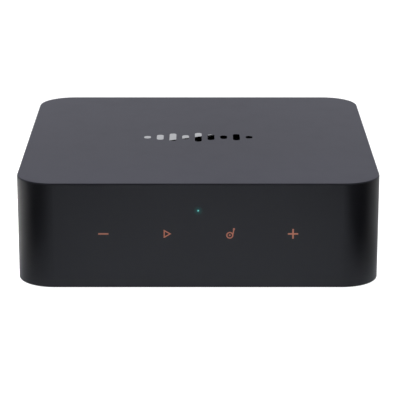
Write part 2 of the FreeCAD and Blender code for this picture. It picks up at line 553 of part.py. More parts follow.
def ribbon(grow):
    """The flat ribbon: down from the touch board, round a quarter bend, and back onto the main board."""
    thick = RIBBON_THICK + 2 * grow
    x = span(0, RIBBON_WIDTH + 2 * grow)
    centre_y, centre_z = RIBBON_Y + RIBBON_BEND_R, RIBBON_Z + RIBBON_BEND_R
    down = box(x, span(RIBBON_Y, thick), (centre_z, UPPER_SOCKET_Z + RIBBON_IN))
    level = box(x, (centre_y, LOWER_SOCKET_Y + RIBBON_IN), span(RIBBON_Z, thick))
    ends = [(x[0], centre_y, centre_z), (x[1], centre_y, centre_z)]
    bend = tube(RIBBON_BEND_R + thick / 2, RIBBON_BEND_R - thick / 2, *ends)
    reach = RIBBON_BEND_R + thick
    bend = bend.common(box(x, (centre_y - reach, centre_y), (centre_z - reach, centre_z)))
    return joined(down, bend, level)


def ribbon_sockets():
    x = span(0, SOCKET_WIDTH)
    upper = box(x, (TOUCH_BACK, TOUCH_BACK + SOCKET_THICK), (UPPER_SOCKET_Z, UPPER_SOCKET_Z + SOCKET_LENGTH))
    lower = box(x, (LOWER_SOCKET_Y, LOWER_SOCKET_Y + SOCKET_LENGTH), (BOARD_TOP, BOARD_TOP + SOCKET_THICK))
    return group(socket.cut(ribbon(RIBBON_FIT)) for socket in (upper, lower))


# ---- Base cover, foot, weight and screws ----
def foot_ring(grow, z):
    size = WIDTH - 2 * FOOT_INSET, DEPTH - 2 * FOOT_INSET
    outside = slab(size[0] + 2 * grow, size[1] + 2 * grow, CORNER_R - FOOT_INSET + grow, z)
    inner_r = max(CORNER_R - FOOT_INSET - FOOT_WIDTH, 1.0)
    inset = 2 * FOOT_WIDTH + 2 * grow
    return outside.cut(slab(size[0] - inset, size[1] - inset, inner_r, z))


def base_cover():
    z = (BODY_BOTTOM, BASE_TOP)
    plate = slab(2 * (INNER_X - BASE_FIT), 2 * (INNER_Y - BASE_FIT), CORNER_R - WALL - BASE_FIT, z)
    behind = box(span(0, PANEL_WIDTH + 2 * FLANGE_LAP + 2 * BASE_FIT), (BASE_BACK, BACK),
                 (z[0] - 1, z[1] + 1))
    plate = plate.cut(behind)
    cups = [rod(CUP_R, (s * BOSS_X, e * BOSS_Y, BASE_TOP), (s * BOSS_X, e * BOSS_Y, BASE_TOP + CUP_HEIGHT))
            for s, e in CORNERS]
    posts = [rod(POST_R, (x, y, BASE_TOP), (x, y, BOARD_BOTTOM)) for x, y in POSTS]
    upstand = box(span(0, PANEL_WIDTH - 4 * FLANGE_LAP), (BASE_BACK - UPSTAND_THICK, BASE_BACK),
                  (BASE_TOP, BASE_TOP + UPSTAND_HEIGHT))
    hollow = WEIGHT_WIDTH + 2 * WEIGHT_FIT, WEIGHT_DEPTH + 2 * WEIGHT_FIT
    rim_z = (BASE_TOP, BASE_TOP + WEIGHT_THICK)
    rim = slab(hollow[0] + 2 * WEIGHT_RIM, hollow[1] + 2 * WEIGHT_RIM, WEIGHT_R + WEIGHT_RIM, rim_z,
               (0, WEIGHT_MIDDLE))
    rim = rim.cut(slab(hollow[0], hollow[1], WEIGHT_R, rim_z, (0, WEIGHT_MIDDLE)))
    cover = joined(plate, *cups, *posts, upstand, rim)
    cuts = [foot_ring(FOOT_FIT, (BODY_BOTTOM - 1, BODY_BOTTOM + FOOT_SUNK))]
    cuts.append(slab(LABEL_WIDTH, LABEL_DEPTH, LABEL_R, (BODY_BOTTOM - 1, BODY_BOTTOM + LABEL_SUNK),
                     (0, WEIGHT_MIDDLE)))
    for s, e in CORNERS:
        x, y = s * BOSS_X, e * BOSS_Y
        cuts.append(rod(BASE_SCREW_HEAD_R + SCREW_CLEAR, (x, y, BODY_BOTTOM - 1), (x, y, CUP_SEAT)))
        cuts.append(rod(BASE_SCREW_R + SCREW_CLEAR, (x, y, CUP_SEAT), (x, y, BASE_TOP + CUP_HEIGHT)))
    cuts += [rod(BOARD_SCREW_R + SCREW_TIGHT, (x, y, BODY_BOTTOM + POST_FLOOR), (x, y, BOARD_BOTTOM))
             for x, y in POSTS]
    vent_y = POSTS[1][1]
    cuts += [slab(VENT_WIDTH, VENT_LENGTH, VENT_WIDTH / 2, (BODY_BOTTOM - 1, BASE_TOP + 1),
                  ((i - (VENT_COUNT - 1) / 2) * VENT_PITCH, vent_y)) for i in range(VENT_COUNT)]
    return cover.cut(cuts)


def base_screws():
    return group(screw(BASE_SCREW_R, BASE_SCREW_LENGTH, BASE_SCREW_HEAD_R, BASE_SCREW_HEAD,
                       (s * BOSS_X, e * BOSS_Y, CUP_SEAT), -1) for s, e in CORNERS)


def weight_plate():
    return slab(WEIGHT_WIDTH, WEIGHT_DEPTH, WEIGHT_R, (BASE_TOP, BASE_TOP + WEIGHT_THICK), (0, WEIGHT_MIDDLE))


# ---- Main board and what stands on it ----
def main_board():
    z = (BOARD_BOTTOM, BOARD_TOP)
    board = box(span(0, 2 * BOARD_X), (BOARD_FRONT, BOARD_BACK), z)
    keep = CUP_R + BOARD_CORNER_GAP
    cuts = [box(span(s * BOSS_X, 2 * keep), span(e * BOSS_Y, 2 * keep), z) for s, e in CORNERS]
    cuts += [rod(BOARD_SCREW_R + SCREW_CLEAR, (x, y, z[0]), (x, y, z[1])) for x, y in POSTS]
    cuts += [rod(PIN_R + PIN_FIT, (x, y, z[0]), (x, y, z[1])) for x, y in EARS]
    return board.cut(cuts)


def board_screws():
    return group(screw(BOARD_SCREW_R, BOARD_SCREW_LENGTH, BOARD_SCREW_HEAD_R, BOARD_SCREW_HEAD,
                       (x, y, BOARD_TOP), 1) for x, y in POSTS)


def on_board(x, y, width, depth, height, lift=0.0):
    """A block that stands on the main board with its middle at (x, y)."""
    return box(span(x, width), span(y, depth), (BOARD_TOP + lift, BOARD_TOP + lift + height))


def leaded_chip(x, y, width, depth, height, pins):
    """A flat chip with a row of bent legs along its two long sides."""
    body = on_board(x, y, width, depth, height - CHIP_LIFT, CHIP_LIFT)
    legs = []
    pitch = width / (pins + 1)
    wide = pitch * LEG_SHARE
    for i in range(pins):
        leg_x = x - width / 2 + pitch * (i + 1)
        for side in (-1, 1):
            out = y + side * (depth / 2 + LEG_LENGTH / 2)
            down = out + side * (LEG_LENGTH - LEG_THICK) / 2
            foot = down + side * (LEG_LENGTH - LEG_THICK) / 2
            legs.append(on_board(leg_x, out, wide, LEG_LENGTH, LEG_THICK, height / 2))
            legs.append(on_board(leg_x, down, wide, LEG_THICK, height / 2 + LEG_THICK))
            legs.append(on_board(leg_x, foot, wide, LEG_LENGTH, LEG_THICK))
    return joined(body, *legs)


def processor_chip():
    """The processor: a package on a thin carrier."""
    carrier = on_board(PROCESSOR_X, PROCESSOR_Y, PROCESSOR_SIZE, PROCESSOR_SIZE, PROCESSOR_THICK / 2)
    lid_size = PROCESSOR_SIZE - 2 * PROCESSOR_MARGIN
    lid = on_board(PROCESSOR_X, PROCESSOR_Y, lid_size, lid_size, PROCESSOR_THICK)
    return joined(carrier, lid)


def board_chips():
    """Memory beside the processor, line drivers by the phono sockets and the network chip by its socket."""
    memory = [on_board(PROCESSOR_X + side * MEMORY_OUT, PROCESSOR_Y + MEMORY_UP, MEMORY_WIDTH, MEMORY_DEPTH,
                       MEMORY_THICK) for side in (-1, 1)]
    driver_y = BOARD_BACK - PHONO_BLOCK_DEPTH - DRIVER_GAP - DRIVER_DEPTH / 2
    drivers = [leaded_chip(PORT_X[name], driver_y, DRIVER_WIDTH, DRIVER_DEPTH, DRIVER_THICK, DRIVER_LEGS)
               for name in ("line_out", "line_in")]
    network = on_board(PORT_X["lan"], NETWORK_Y, NETWORK_SIZE, NETWORK_SIZE, NETWORK_THICK)
    return group(memory + drivers + [network])


def processor_shield():
    size = SHIELD_WIDTH - 2 * SHIELD_SHEET, SHIELD_DEPTH - 2 * SHIELD_SHEET, SHIELD_HEIGHT - SHIELD_SHEET
    place = PROCESSOR_X, PROCESSOR_Y
    can = slab(SHIELD_WIDTH, SHIELD_DEPTH, SHIELD_R, (BOARD_TOP, SHIELD_TOP), place)
    can = can.cut(slab(size[0], size[1], SHIELD_R - SHIELD_SHEET, (BOARD_TOP, BOARD_TOP + size[2]), place))
    z = (BOARD_TOP, BOARD_TOP + SHIELD_HOLE_HEIGHT)
    return can.cut([box(span(PROCESSOR_X, 2 * SHIELD_WIDTH), span(PROCESSOR_Y + along, SHIELD_HOLE_WIDTH), z)
                    for along in SHIELD_HOLES])


def thermal_pad():
    return slab(PAD_WIDTH, PAD_DEPTH, PAD_R, (SHIELD_TOP, SINK_BOTTOM), (PROCESSOR_X, PROCESSOR_Y))


def heat_sink():
    x, y = span(PROCESSOR_X, SINK_WIDTH), span(PROCESSOR_Y, SINK_DEPTH)
    base_z = (SINK_BOTTOM, SINK_BOTTOM + SINK_BASE)
    pitch = (SINK_WIDTH - SINK_FIN) / (SINK_FINS - 1)
    fins = [box((x[0] + i * pitch, x[0] + i * pitch + SINK_FIN), y, (base_z[0], base_z[1] + SINK_FIN_HEIGHT))
            for i in range(SINK_FINS)]
    ears = []
    holes = []
    for ear_x, ear_y in EARS:
        side = 1 if ear_x > PROCESSOR_X else -1
        inward = sorted((ear_x, PROCESSOR_X + (SINK_WIDTH / 2 - EAR_LAP) * side))
        ears.append(rod(EAR_R, (ear_x, ear_y, base_z[0]), (ear_x, ear_y, base_z[1])))
        ears.append(box(inward, span(ear_y, EAR_R), base_z))
        room = PIN_HEAD_R + PIN_ROOM
        holes.append(rod(room, (ear_x, ear_y, base_z[1]), (ear_x, ear_y, base_z[1] + SINK_FIN_HEIGHT)))
        holes.append(rod(PIN_R + PIN_FIT, (ear_x, ear_y, base_z[0]), (ear_x, ear_y, base_z[1])))
    return joined(box(x, y, base_z), *fins, *ears).cut(holes)


def heat_sink_pins():
    """Push pins with a split tip that springs open under the board."""
    top = SINK_BOTTOM + SINK_BASE
    pins = []
    for x, y in EARS:
        head = rod(PIN_HEAD_R, (x, y, top), (x, y, top + PIN_HEAD))
        end = BOARD_BOTTOM - PIN_BELOW
        shank = rod(PIN_R, (x, y, end + PIN_BARB / 2), (x, y, top))
        barb = Part.makeCone(PIN_BARB_END_R, PIN_TIP_R, PIN_BARB, Vector(x, y, end))
        slit = box(span(x, PIN_SLIT), span(y, 4 * PIN_R), (end - 1, BOARD_TOP))
        pins.append(joined(head, shank, barb).cut(slit))
    return group(pins)


def aerial_ports():
    return [(MODULE_X + side * AERIAL_PORT_X, MODULE_Y + AERIAL_PORT_Y) for side in (-1, 1)]


def wireless_module():
    carrier = on_board(MODULE_X, MODULE_Y, MODULE_WIDTH, MODULE_DEPTH, MODULE_CARRIER)
    inset = 2 * MODULE_MARGIN
    can = slab(MODULE_WIDTH - inset, MODULE_DEPTH - inset, MODULE_R, (BOARD_TOP, MODULE_TOP),
               (MODULE_X, MODULE_Y))
    ports = [rod(AERIAL_PORT_R, (x, y, MODULE_TOP), (x, y, MODULE_TOP + AERIAL_PORT))
             for x, y in aerial_ports()]
    return joined(carrier, can, *ports)


def antennas():
    y = span(ANTENNA_MIDDLE, ANTENNA_LENGTH)
    z = (ANTENNA_BOTTOM, ANTENNA_BOTTOM + ANTENNA_HEIGHT)
    outer = INNER_X - ANTENNA_GAP
    return group(box(sorted((side * outer, side * (outer - ANTENNA_THICK))), y, z) for side in (-1, 1))


def antenna_lead(points, port):
    path = bent_path(points, LEAD_BEND_R)
    ring = Part.Wire(Part.makeCircle(LEAD_R, Vector(*points[0]), Vector(*points[1]) - Vector(*points[0])))
    x, y = port
    cap = rod(CAP_R, (x, y, MODULE_TOP + CAP_FIT), (x, y, MODULE_TOP + CAP_HEIGHT))
    seat = rod(AERIAL_PORT_R + CAP_FIT, (x, y, MODULE_TOP), (x, y, MODULE_TOP + AERIAL_PORT + CAP_FIT))
    return joined(path.makePipeShell([ring], True, False), cap).cut(seat)


def antenna_leads():
    """A thin lead from each antenna down the wall and over the board, with a cap that snaps on the module."""
    wall_x = INNER_X - ANTENNA_GAP - ANTENNA_THICK - LEAD_R - LEAD_TOUCH
    high = ANTENNA_BOTTOM + ANTENNA_HEIGHT / 2
    level = MODULE_TOP + CAP_HEIGHT - LEAD_R
    left_port, right_port = aerial_ports()
    left = [(-wall_x, left_port[1], high), (-wall_x, left_port[1], level),
            (left_port[0], left_port[1], level)]
    right = [(wall_x, ANTENNA_MIDDLE, high), (wall_x, ANTENNA_MIDDLE, level), (wall_x, LEAD_FRONT, level),
             (right_port[0], LEAD_FRONT, level), (right_port[0], right_port[1], level)]
    return group([antenna_lead(left, left_port), antenna_lead(right, right_port)])


def dac_chip():
    return leaded_chip(DAC_X, DAC_Y, DAC_WIDTH, DAC_DEPTH, DAC_THICK, DAC_LEGS)


def capacitor(x, y, radius, height):
    """A can capacitor: moulded base and crimped can."""
    base_size, top = 2 * (radius + CAN_BASE_OVER), BOARD_TOP + height
    base = slab(base_size, base_size, CAN_BASE_R, (BOARD_TOP, BOARD_TOP + CAN_BASE), (x, y))
    can = rod(radius, (x, y, BOARD_TOP), (x, y, top))
    can = can.makeFillet(CAN_EDGE_R, edges_at(can, top))
    crimp = tube(2 * radius, radius - CRIMP_DEEP, (x, y, BOARD_TOP + CRIMP_LOW),
                 (x, y, BOARD_TOP + CRIMP_HIGH))
    return joined(base, can).cut(crimp)


def filter_capacitors():
    near_lines = [(inward - BOARD_X, y) for inward, y in LINE_CANS]
    near_power = [(BOARD_X - inward, y) for inward, y in POWER_CANS]
    near_power.append((PORT_X["usb"] - INPUT_CAN_OUT, INPUT_CAN_Y))
    return group([capacitor(x, y, LINE_CAN_R, LINE_CAN_HEIGHT) for x, y in near_lines]
                 + [capacitor(x, y, POWER_CAN_R, POWER_CAN_HEIGHT) for x, y in near_power])


def power_inductors():
    coils = []
    top = BOARD_TOP + COIL_THICK
    for inward, y in COILS:
        x = BOARD_X - inward
        block = slab(COIL_SIZE, COIL_SIZE, COIL_CORNER_R, (BOARD_TOP, top), (x, y))
        ends = (x, y, top - COIL_GROOVE_DEEP), (x, y, top)
        coils.append(block.cut(tube(COIL_GROOVE_R, COIL_GROOVE_R - COIL_GROOVE, *ends)))
    return group(coils)


def crystal(x, y, width, depth):
    foot = slab(width, depth, depth / 2, (BOARD_TOP, BOARD_TOP + CRYSTAL_FOOT), (x, y))
    inner = width - 2 * CRYSTAL_FOOT_OVER, depth - 2 * CRYSTAL_FOOT_OVER
    can = slab(inner[0], inner[1], inner[1] / 2, (BOARD_TOP, BOARD_TOP + CRYSTAL_HEIGHT), (x, y))
    return joined(foot, can)


def crystals():
    """The crystals of the processor, the wireless link and the converter."""
    left, right = PROCESSOR_X - CRYSTAL_OUT, PROCESSOR_X + CRYSTAL_OUT
    return group([crystal(left, PROCESSOR_Y + CRYSTAL_UP[0], CRYSTAL_LONG, CRYSTAL_LONG_DEPTH),
                  crystal(right, PROCESSOR_Y + CRYSTAL_UP[1], CRYSTAL_SHORT, CRYSTAL_SHORT_DEPTH),
                  crystal(DAC_X, DAC_Y - DAC_CRYSTAL_DOWN, CRYSTAL_SHORT, CRYSTAL_SHORT_DEPTH)])


def small_components():
    """Rows of resistors and small capacitors, each a ceramic block with raised end caps."""
    cap = SMALL_WIDTH + 2 * SMALL_CAP_OVER, SMALL_CAP, SMALL_THICK + SMALL_CAP_OVER
    blocks = []
    rows = [(inward - BOARD_X, y, count) for inward, y, count in LINE_ROWS]
    for first_x, y, count in rows + list(SMALL_ROWS):
        for i in range(count):
            x = first_x + SMALL_PITCH * i
            body = on_board(x, y, SMALL_WIDTH, SMALL_LENGTH, SMALL_THICK)
            ends = [y + side * (SMALL_LENGTH / 2 - SMALL_CAP / 2 + SMALL_CAP_OVER) for side in (-1, 1)]
            blocks.append(joined(body, *[on_board(x, end, *cap) for end in ends]))
    return group(blocks)


# ---- Rear panel ----
def rear_panel():
    width = PANEL_WIDTH - 2 * PANEL_FIT
    top = PANEL_TOP - PANEL_FIT
    below = box(span(0, WIDTH), span(BACK, DEPTH), (BODY_BOTTOM - BODY_HEIGHT * 2, BODY_BOTTOM))
    plug = rear_prism(width, 2 * (top - BODY_BOTTOM), PANEL_R - PANEL_FIT, (0, BODY_BOTTOM),
                      (PANEL_FRONT, BACK))
    flange = rear_prism(width + 2 * FLANGE_LAP, 2 * (top + FLANGE_LAP - BODY_BOTTOM), PANEL_R,
                        (0, BODY_BOTTOM), (PANEL_FRONT, PANEL_FRONT + FLANGE_THICK))
    pocket = box(span(0, width - 2 * PANEL_RIM), (PANEL_FRONT, BACK - PANEL_SKIN),
                 (BODY_BOTTOM + PANEL_RIM, top - PANEL_RIM))
    panel = joined(plug, flange).cut([below, pocket])
    y = (PANEL_FRONT - 1, BACK + 1)
    holes = [rear_rod(PHONO_COLLAR_R + PORT_FIT, axis, y) for axis in PHONO_AXES]
    for name in ("optical_in", "optical_out"):
        holes.append(box(span(PORT_X[name], OPTICAL_WIDTH + 2 * PORT_FIT), y,
                         (BOARD_TOP - PORT_FIT, OPTICAL_TOP + PORT_FIT)))
    holes.append(box(span(PORT_X["lan"], LAN_WIDTH + 2 * PORT_FIT), y,
                     (BOARD_TOP - PORT_FIT, BOARD_TOP + LAN_HEIGHT + PORT_FIT)))
    holes.append(rear_rod(TRIGGER_R + SLEEVE_WALL + NOSE_WALL + PORT_FIT, (PORT_X["trigger"], TRIGGER_Z), y))
    holes.append(stadium(USB_WIDTH + 2 * PORT_FIT, USB_HEIGHT + 2 * PORT_FIT, y))
    holes.append(stadium(RECESS_WIDTH, RECESS_HEIGHT, (BACK - RECESS_DEPTH, BACK + 1)))
    return panel.cut(holes)


def stadium(width, height, y):
    """A prism with half-round ends on the power socket's axis."""
    return rear_prism(width, height, height / 2, (PORT_X["usb"], USB_Z), y)


# ---- Sockets ----
def usb_c_shell():
    y = (USB_FRONT - USB_DEPTH, USB_FRONT)
    sheet = 2 * USB_SHEET
    return stadium(USB_WIDTH, USB_HEIGHT, y).cut(stadium(USB_WIDTH - sheet, USB_HEIGHT - sheet, y))


def usb_c_tongue():
    """The insulating block at the back of the power socket and the tongue that carries its contacts."""
    inside = 2 * (USB_SHEET + USB_FIT)
    back = USB_FRONT - USB_DEPTH
    block = stadium(USB_WIDTH - inside, USB_HEIGHT - inside, (back, back + USB_REAR))
    tongue = box(span(PORT_X["usb"], TONGUE_WIDTH), (back, back + USB_REAR + TONGUE_LENGTH),
                 span(USB_Z, TONGUE_THICK))
    return joined(block, tongue)


def lan_shield():
    x = PORT_X["lan"]
    y = (LAN_FRONT - LAN_DEPTH, LAN_FRONT)
    outside = box(span(x, LAN_WIDTH), y, (BOARD_TOP, BOARD_TOP + LAN_HEIGHT))
    inside = box(span(x, LAN_WIDTH - 2 * LAN_SHEET), (y[0] + LAN_SHEET, y[1]),
                 (BOARD_TOP, BOARD_TOP + LAN_HEIGHT - LAN_SHEET))
    return outside.cut(inside)


def lan_pin_places():
    return [PORT_X["lan"] + (i - (LAN_PINS - 1) / 2) * LAN_PIN_PITCH for i in range(LAN_PINS)]


def lan_light_boxes(grow):
    z = span(BOARD_TOP + LAN_LIGHT_UP, LAN_LIGHT_HEIGHT + 2 * grow)
    y = (LAN_FRONT - LAN_LIGHT_DEPTH, LAN_FRONT)
    width = LAN_LIGHT_WIDTH + 2 * grow
    return [box(span(PORT_X["lan"] + side * LAN_LIGHT_OUT, width), y, z) for side in (-1, 1)]


def lan_insert():
    """The plastic body in the shield, with the mouth, the latch channel below it and contact slots above."""
    x = PORT_X["lan"]
    fit = LAN_SHEET + USB_FIT
    body = box(span(x, LAN_WIDTH - 2 * fit), (LAN_FRONT - LAN_DEPTH + fit, LAN_FRONT),
               (BOARD_TOP, BOARD_TOP + LAN_HEIGHT - fit))
    y = (LAN_FRONT - LAN_MOUTH_DEPTH, LAN_FRONT)
    ceiling = LAN_MOUTH_Z + LAN_MOUTH_HEIGHT
    cuts = [box(span(x, LAN_MOUTH_WIDTH), y, (LAN_MOUTH_Z, ceiling)),
            box(span(x, LATCH_WIDTH), y, (LAN_MOUTH_Z - LATCH_DEPTH, LAN_MOUTH_Z))]
    cuts += [box(span(place, LAN_PIN + 2 * LAN_SLOT_FIT), (y[0], LAN_FRONT - LAN_PIN_IN + 2 * LAN_SLOT_FIT),
                 (ceiling, ceiling + LAN_SLOT)) for place in lan_pin_places()]
    return body.cut(cuts + lan_light_boxes(USB_FIT))


def lan_contacts():
    """Eight flat wires that run forward in the ceiling slots and fold back down into the mouth."""
    ceiling = LAN_MOUTH_Z + LAN_MOUTH_HEIGHT
    start, fold, end = LAN_FRONT - LAN_MOUTH_DEPTH, LAN_FRONT - LAN_PIN_IN, LAN_FRONT - LAN_PIN_END
    low = ceiling - LAN_PIN_DROP
    slope = (ceiling - low) / (fold - end)
    inner_z = ceiling + LAN_SLOT - LAN_PIN
    inner_y = fold - (ceiling + LAN_PIN - inner_z) / slope
    profile = [(start, ceiling + LAN_SLOT), (fold, ceiling + LAN_SLOT), (fold, ceiling), (end, low),
               (end, low + LAN_PIN), (inner_y, inner_z), (start, inner_z)]
    return group(polygon_prism([(place - LAN_PIN / 2, y, z) for y, z in profile], Vector(LAN_PIN, 0, 0))
                 for place in lan_pin_places())


def trigger_bore(radius, y):
    return rear_rod(radius, (PORT_X["trigger"], TRIGGER_Z), y)


def trigger_jack_body():
    x = PORT_X["trigger"]
    back = BOARD_BACK - TRIGGER_DEPTH
    block = box(span(x, TRIGGER_WIDTH), (back, BOARD_BACK), (BOARD_TOP, BOARD_TOP + TRIGGER_HEIGHT))
    nose = trigger_bore(TRIGGER_R + SLEEVE_WALL + NOSE_WALL, (BOARD_BACK, TRIGGER_TIP))
    bore = trigger_bore(TRIGGER_R + TRIGGER_INNER_STEP, (back + TRIGGER_FLOOR, TRIGGER_TIP))
    seat = trigger_bore(TRIGGER_R + SLEEVE_WALL, (TRIGGER_TIP - SLEEVE_LENGTH, TRIGGER_TIP))
    return joined(block, nose).cut([bore, seat])


def trigger_jack_sleeve():
    y = (TRIGGER_TIP - SLEEVE_LENGTH, TRIGGER_TIP)
    return trigger_bore(TRIGGER_R + SLEEVE_WALL, y).cut(trigger_bore(TRIGGER_R, y))


def optical_body(x):
    """The socket's black body: mouth with two cut corners, hollow, hinge holes, ferrule hole and pocket."""
    body = box(span(x, OPTICAL_WIDTH), (BACK - OPTICAL_DEPTH, BACK), (BOARD_TOP, OPTICAL_TOP))
    half, low, high = MOUTH / 2, MOUTH_Z - MOUTH / 2, MOUTH_Z + MOUTH / 2
    outline = [(x - half, low), (x + half, low), (x + half, high - MOUTH_CUT), (x + half - MOUTH_CUT, high),
               (x - half + MOUTH_CUT, high), (x - half, high - MOUTH_CUT)]
    mouth = polygon_prism([(px, BACK, pz) for px, pz in outline], Vector(0, -MOUTH_LIP, 0))
    hollow = box(span(x, MOUTH), (CAVITY_END, BACK - MOUTH_LIP), (low, CAVITY_TOP))
    reach = half + HINGE_END + HINGE_END_GAP
    hinge = rod(HINGE_R + HINGE_CLEAR, (x - reach, HINGE_Y, HINGE_Z), (x + reach, HINGE_Y, HINGE_Z))
    ferrule = rear_rod(FERRULE_R, (x, MOUTH_Z), (CAVITY_END - FERRULE_DEPTH, CAVITY_END))
    pocket = box(span(x, OPTO_SIZE + 2 * OPTO_FIT), (BACK - OPTICAL_DEPTH, CAVITY_END - FERRULE_DEPTH),
                 span(MOUTH_Z, OPTO_SIZE + 2 * OPTO_FIT))
    return body.cut([mouth, hollow, hinge, ferrule, pocket])


def optical_door(x):
    """The sprung door on its hinge pins, with a notch at the hinge line for the spring."""
    flap = box(span(x, 2 * DOOR_X), span(HINGE_Y, DOOR_THICK), (DOOR_BOTTOM, HINGE_Z))
    reach = MOUTH / 2 + HINGE_END
    barrel = rod(HINGE_R, (x - reach, HINGE_Y, HINGE_Z), (x + reach, HINGE_Y, HINGE_Z))
    notch = box(span(x, 2 * NOTCH_HALF), span(HINGE_Y, 4 * DOOR_THICK), (HINGE_Z - NOTCH_DROP, CAVITY_TOP))
    lap = NOTCH_HALF + SPRING_PIN_LAP
    axle = rod(SPRING_PIN_R, (x - lap, HINGE_Y, HINGE_Z), (x + lap, HINGE_Y, HINGE_Z))
    return joined(joined(flap, barrel).cut(notch), axle)


def optical_spring(x):
    """A coil round the hinge axle, with an arm down the inside of the door."""
    coil_r = DOOR_THICK / 2 + SPRING_WIRE_R
    length = SPRING_TURNS * SPRING_PITCH
    helix = Part.makeHelix(SPRING_PITCH, length, coil_r)
    ring = Part.Wire(Part.makeCircle(SPRING_WIRE_R, Vector(coil_r, 0, 0), Vector(0, 1, 0)))
    coil = helix.makePipeShell([ring], True, True)
    turned = FreeCAD.Matrix(0, 0, -1, x + length / 2, -1, 0, 0, HINGE_Y, 0, 1, 0, HINGE_Z, 0, 0, 0, 1)
    coil.Placement = FreeCAD.Placement(turned)
    start = (x + length / 2, HINGE_Y - coil_r, HINGE_Z)
    return joined(coil, rod(SPRING_WIRE_R, start, (start[0], start[1], HINGE_Z - SPRING_ARM)))


def opto_part(x):
    """The light receiver or emitter: lens, block and three legs down to the board."""
    front = CAVITY_END - FERRULE_DEPTH
    block = box(span(x, OPTO_SIZE), (front - OPTO_DEPTH, front), span(MOUTH_Z, OPTO_SIZE))
    lens = rear_rod(OPTO_LENS_R, (x, MOUTH_Z), (front, front + OPTO_LENS))
    back = BACK - OPTICAL_DEPTH - OPTO_LEAD_THICK
    legs = [box(span(x + (i - 1) * OPTO_LEAD_PITCH, OPTO_LEAD_WIDTH), (back - OPTO_LEAD_THICK, back),
                (BOARD_TOP, MOUTH_Z)) for i in range(OPTO_LEADS)]
    return joined(block, lens, *legs)


def phono_block(x, top):
    """The black moulding behind the phono sockets, with the holes for the contact tails."""
    y = (BOARD_BACK - PHONO_BLOCK_DEPTH, BOARD_BACK)
    block = box(span(x, PHONO_BLOCK_WIDTH), y, (BOARD_TOP, top))
    step = box(span(x, PHONO_BLOCK_WIDTH), (y[0], y[0] + PHONO_BLOCK_STEP), (top - PHONO_BLOCK_STEP, top))
    tails = [rear_rod(TAIL_R + SLIDE_FIT, axis, (CONTACT_BACK - TAIL_LENGTH - SLIDE_FIT, BOARD_BACK))
             for axis in PHONO_AXES if axis[0] == x and axis[1] < top]
    return block.cut([step] + tails)


def insulator(axis):
    """The coloured insulator: collar in the panel, groove for the barrel, core with the contact's hole."""
    collar = rear_rod(PHONO_COLLAR_R, axis, (BOARD_BACK, BACK + PHONO_COLLAR))
    core = rear_rod(PHONO_CORE_R, axis, (BOARD_BACK, PHONO_CORE_TIP))
    rim = (BACK + PHONO_COLLAR - PHONO_GROOVE, BACK + PHONO_COLLAR)
    groove = rear_tube(PHONO_BASE_R + SLIDE_FIT, PHONO_CORE_R, axis, rim)
    hole = rear_rod(CONTACT_R + CONTACT_WALL + SLIDE_FIT, axis, (CONTACT_BACK, CONTACT_TIP + CONTACT_LIP_GAP))
    mouth = rear_rod(CONTACT_R + CONTACT_LIP, axis, (CONTACT_TIP, PHONO_CORE_TIP))
    tail = rear_rod(TAIL_R + SLIDE_FIT, axis, (BOARD_BACK, CONTACT_BACK))
    return joined(collar, core).cut([groove, hole, mouth, tail])


def phono_barrel(axis):
    """The metal barrel that the plug's shell slides over, on a wider base ring."""
    inner = PHONO_R - PHONO_WALL
    base_back = BACK + PHONO_COLLAR - PHONO_GROOVE
    base = rear_rod(PHONO_BASE_R, axis, (base_back, BACK + PHONO_BASE))
    sleeve = rear_rod(PHONO_R, axis, (BACK, PHONO_TIP - PHONO_CHAMFER))
    tip = Part.makeCone(PHONO_R, PHONO_R - PHONO_CHAMFER, PHONO_CHAMFER,
                        Vector(axis[0], PHONO_TIP - PHONO_CHAMFER, axis[1]), Vector(0, 1, 0))
    return joined(base, sleeve, tip).cut(rear_rod(inner, axis, (base_back, PHONO_TIP)))


def phono_contact(axis):
    """The centre contact: a closed-ended tube for the plug's pin, with a tail into the block."""
    body = rear_rod(CONTACT_R + CONTACT_WALL, axis, (CONTACT_BACK, CONTACT_TIP))
    tail = rear_rod(TAIL_R, axis, (CONTACT_BACK - TAIL_LENGTH, CONTACT_BACK))
    return joined(body, tail).cut(rear_rod(CONTACT_R, axis, (CONTACT_BACK + CONTACT_FLOOR, CONTACT_TIP)))


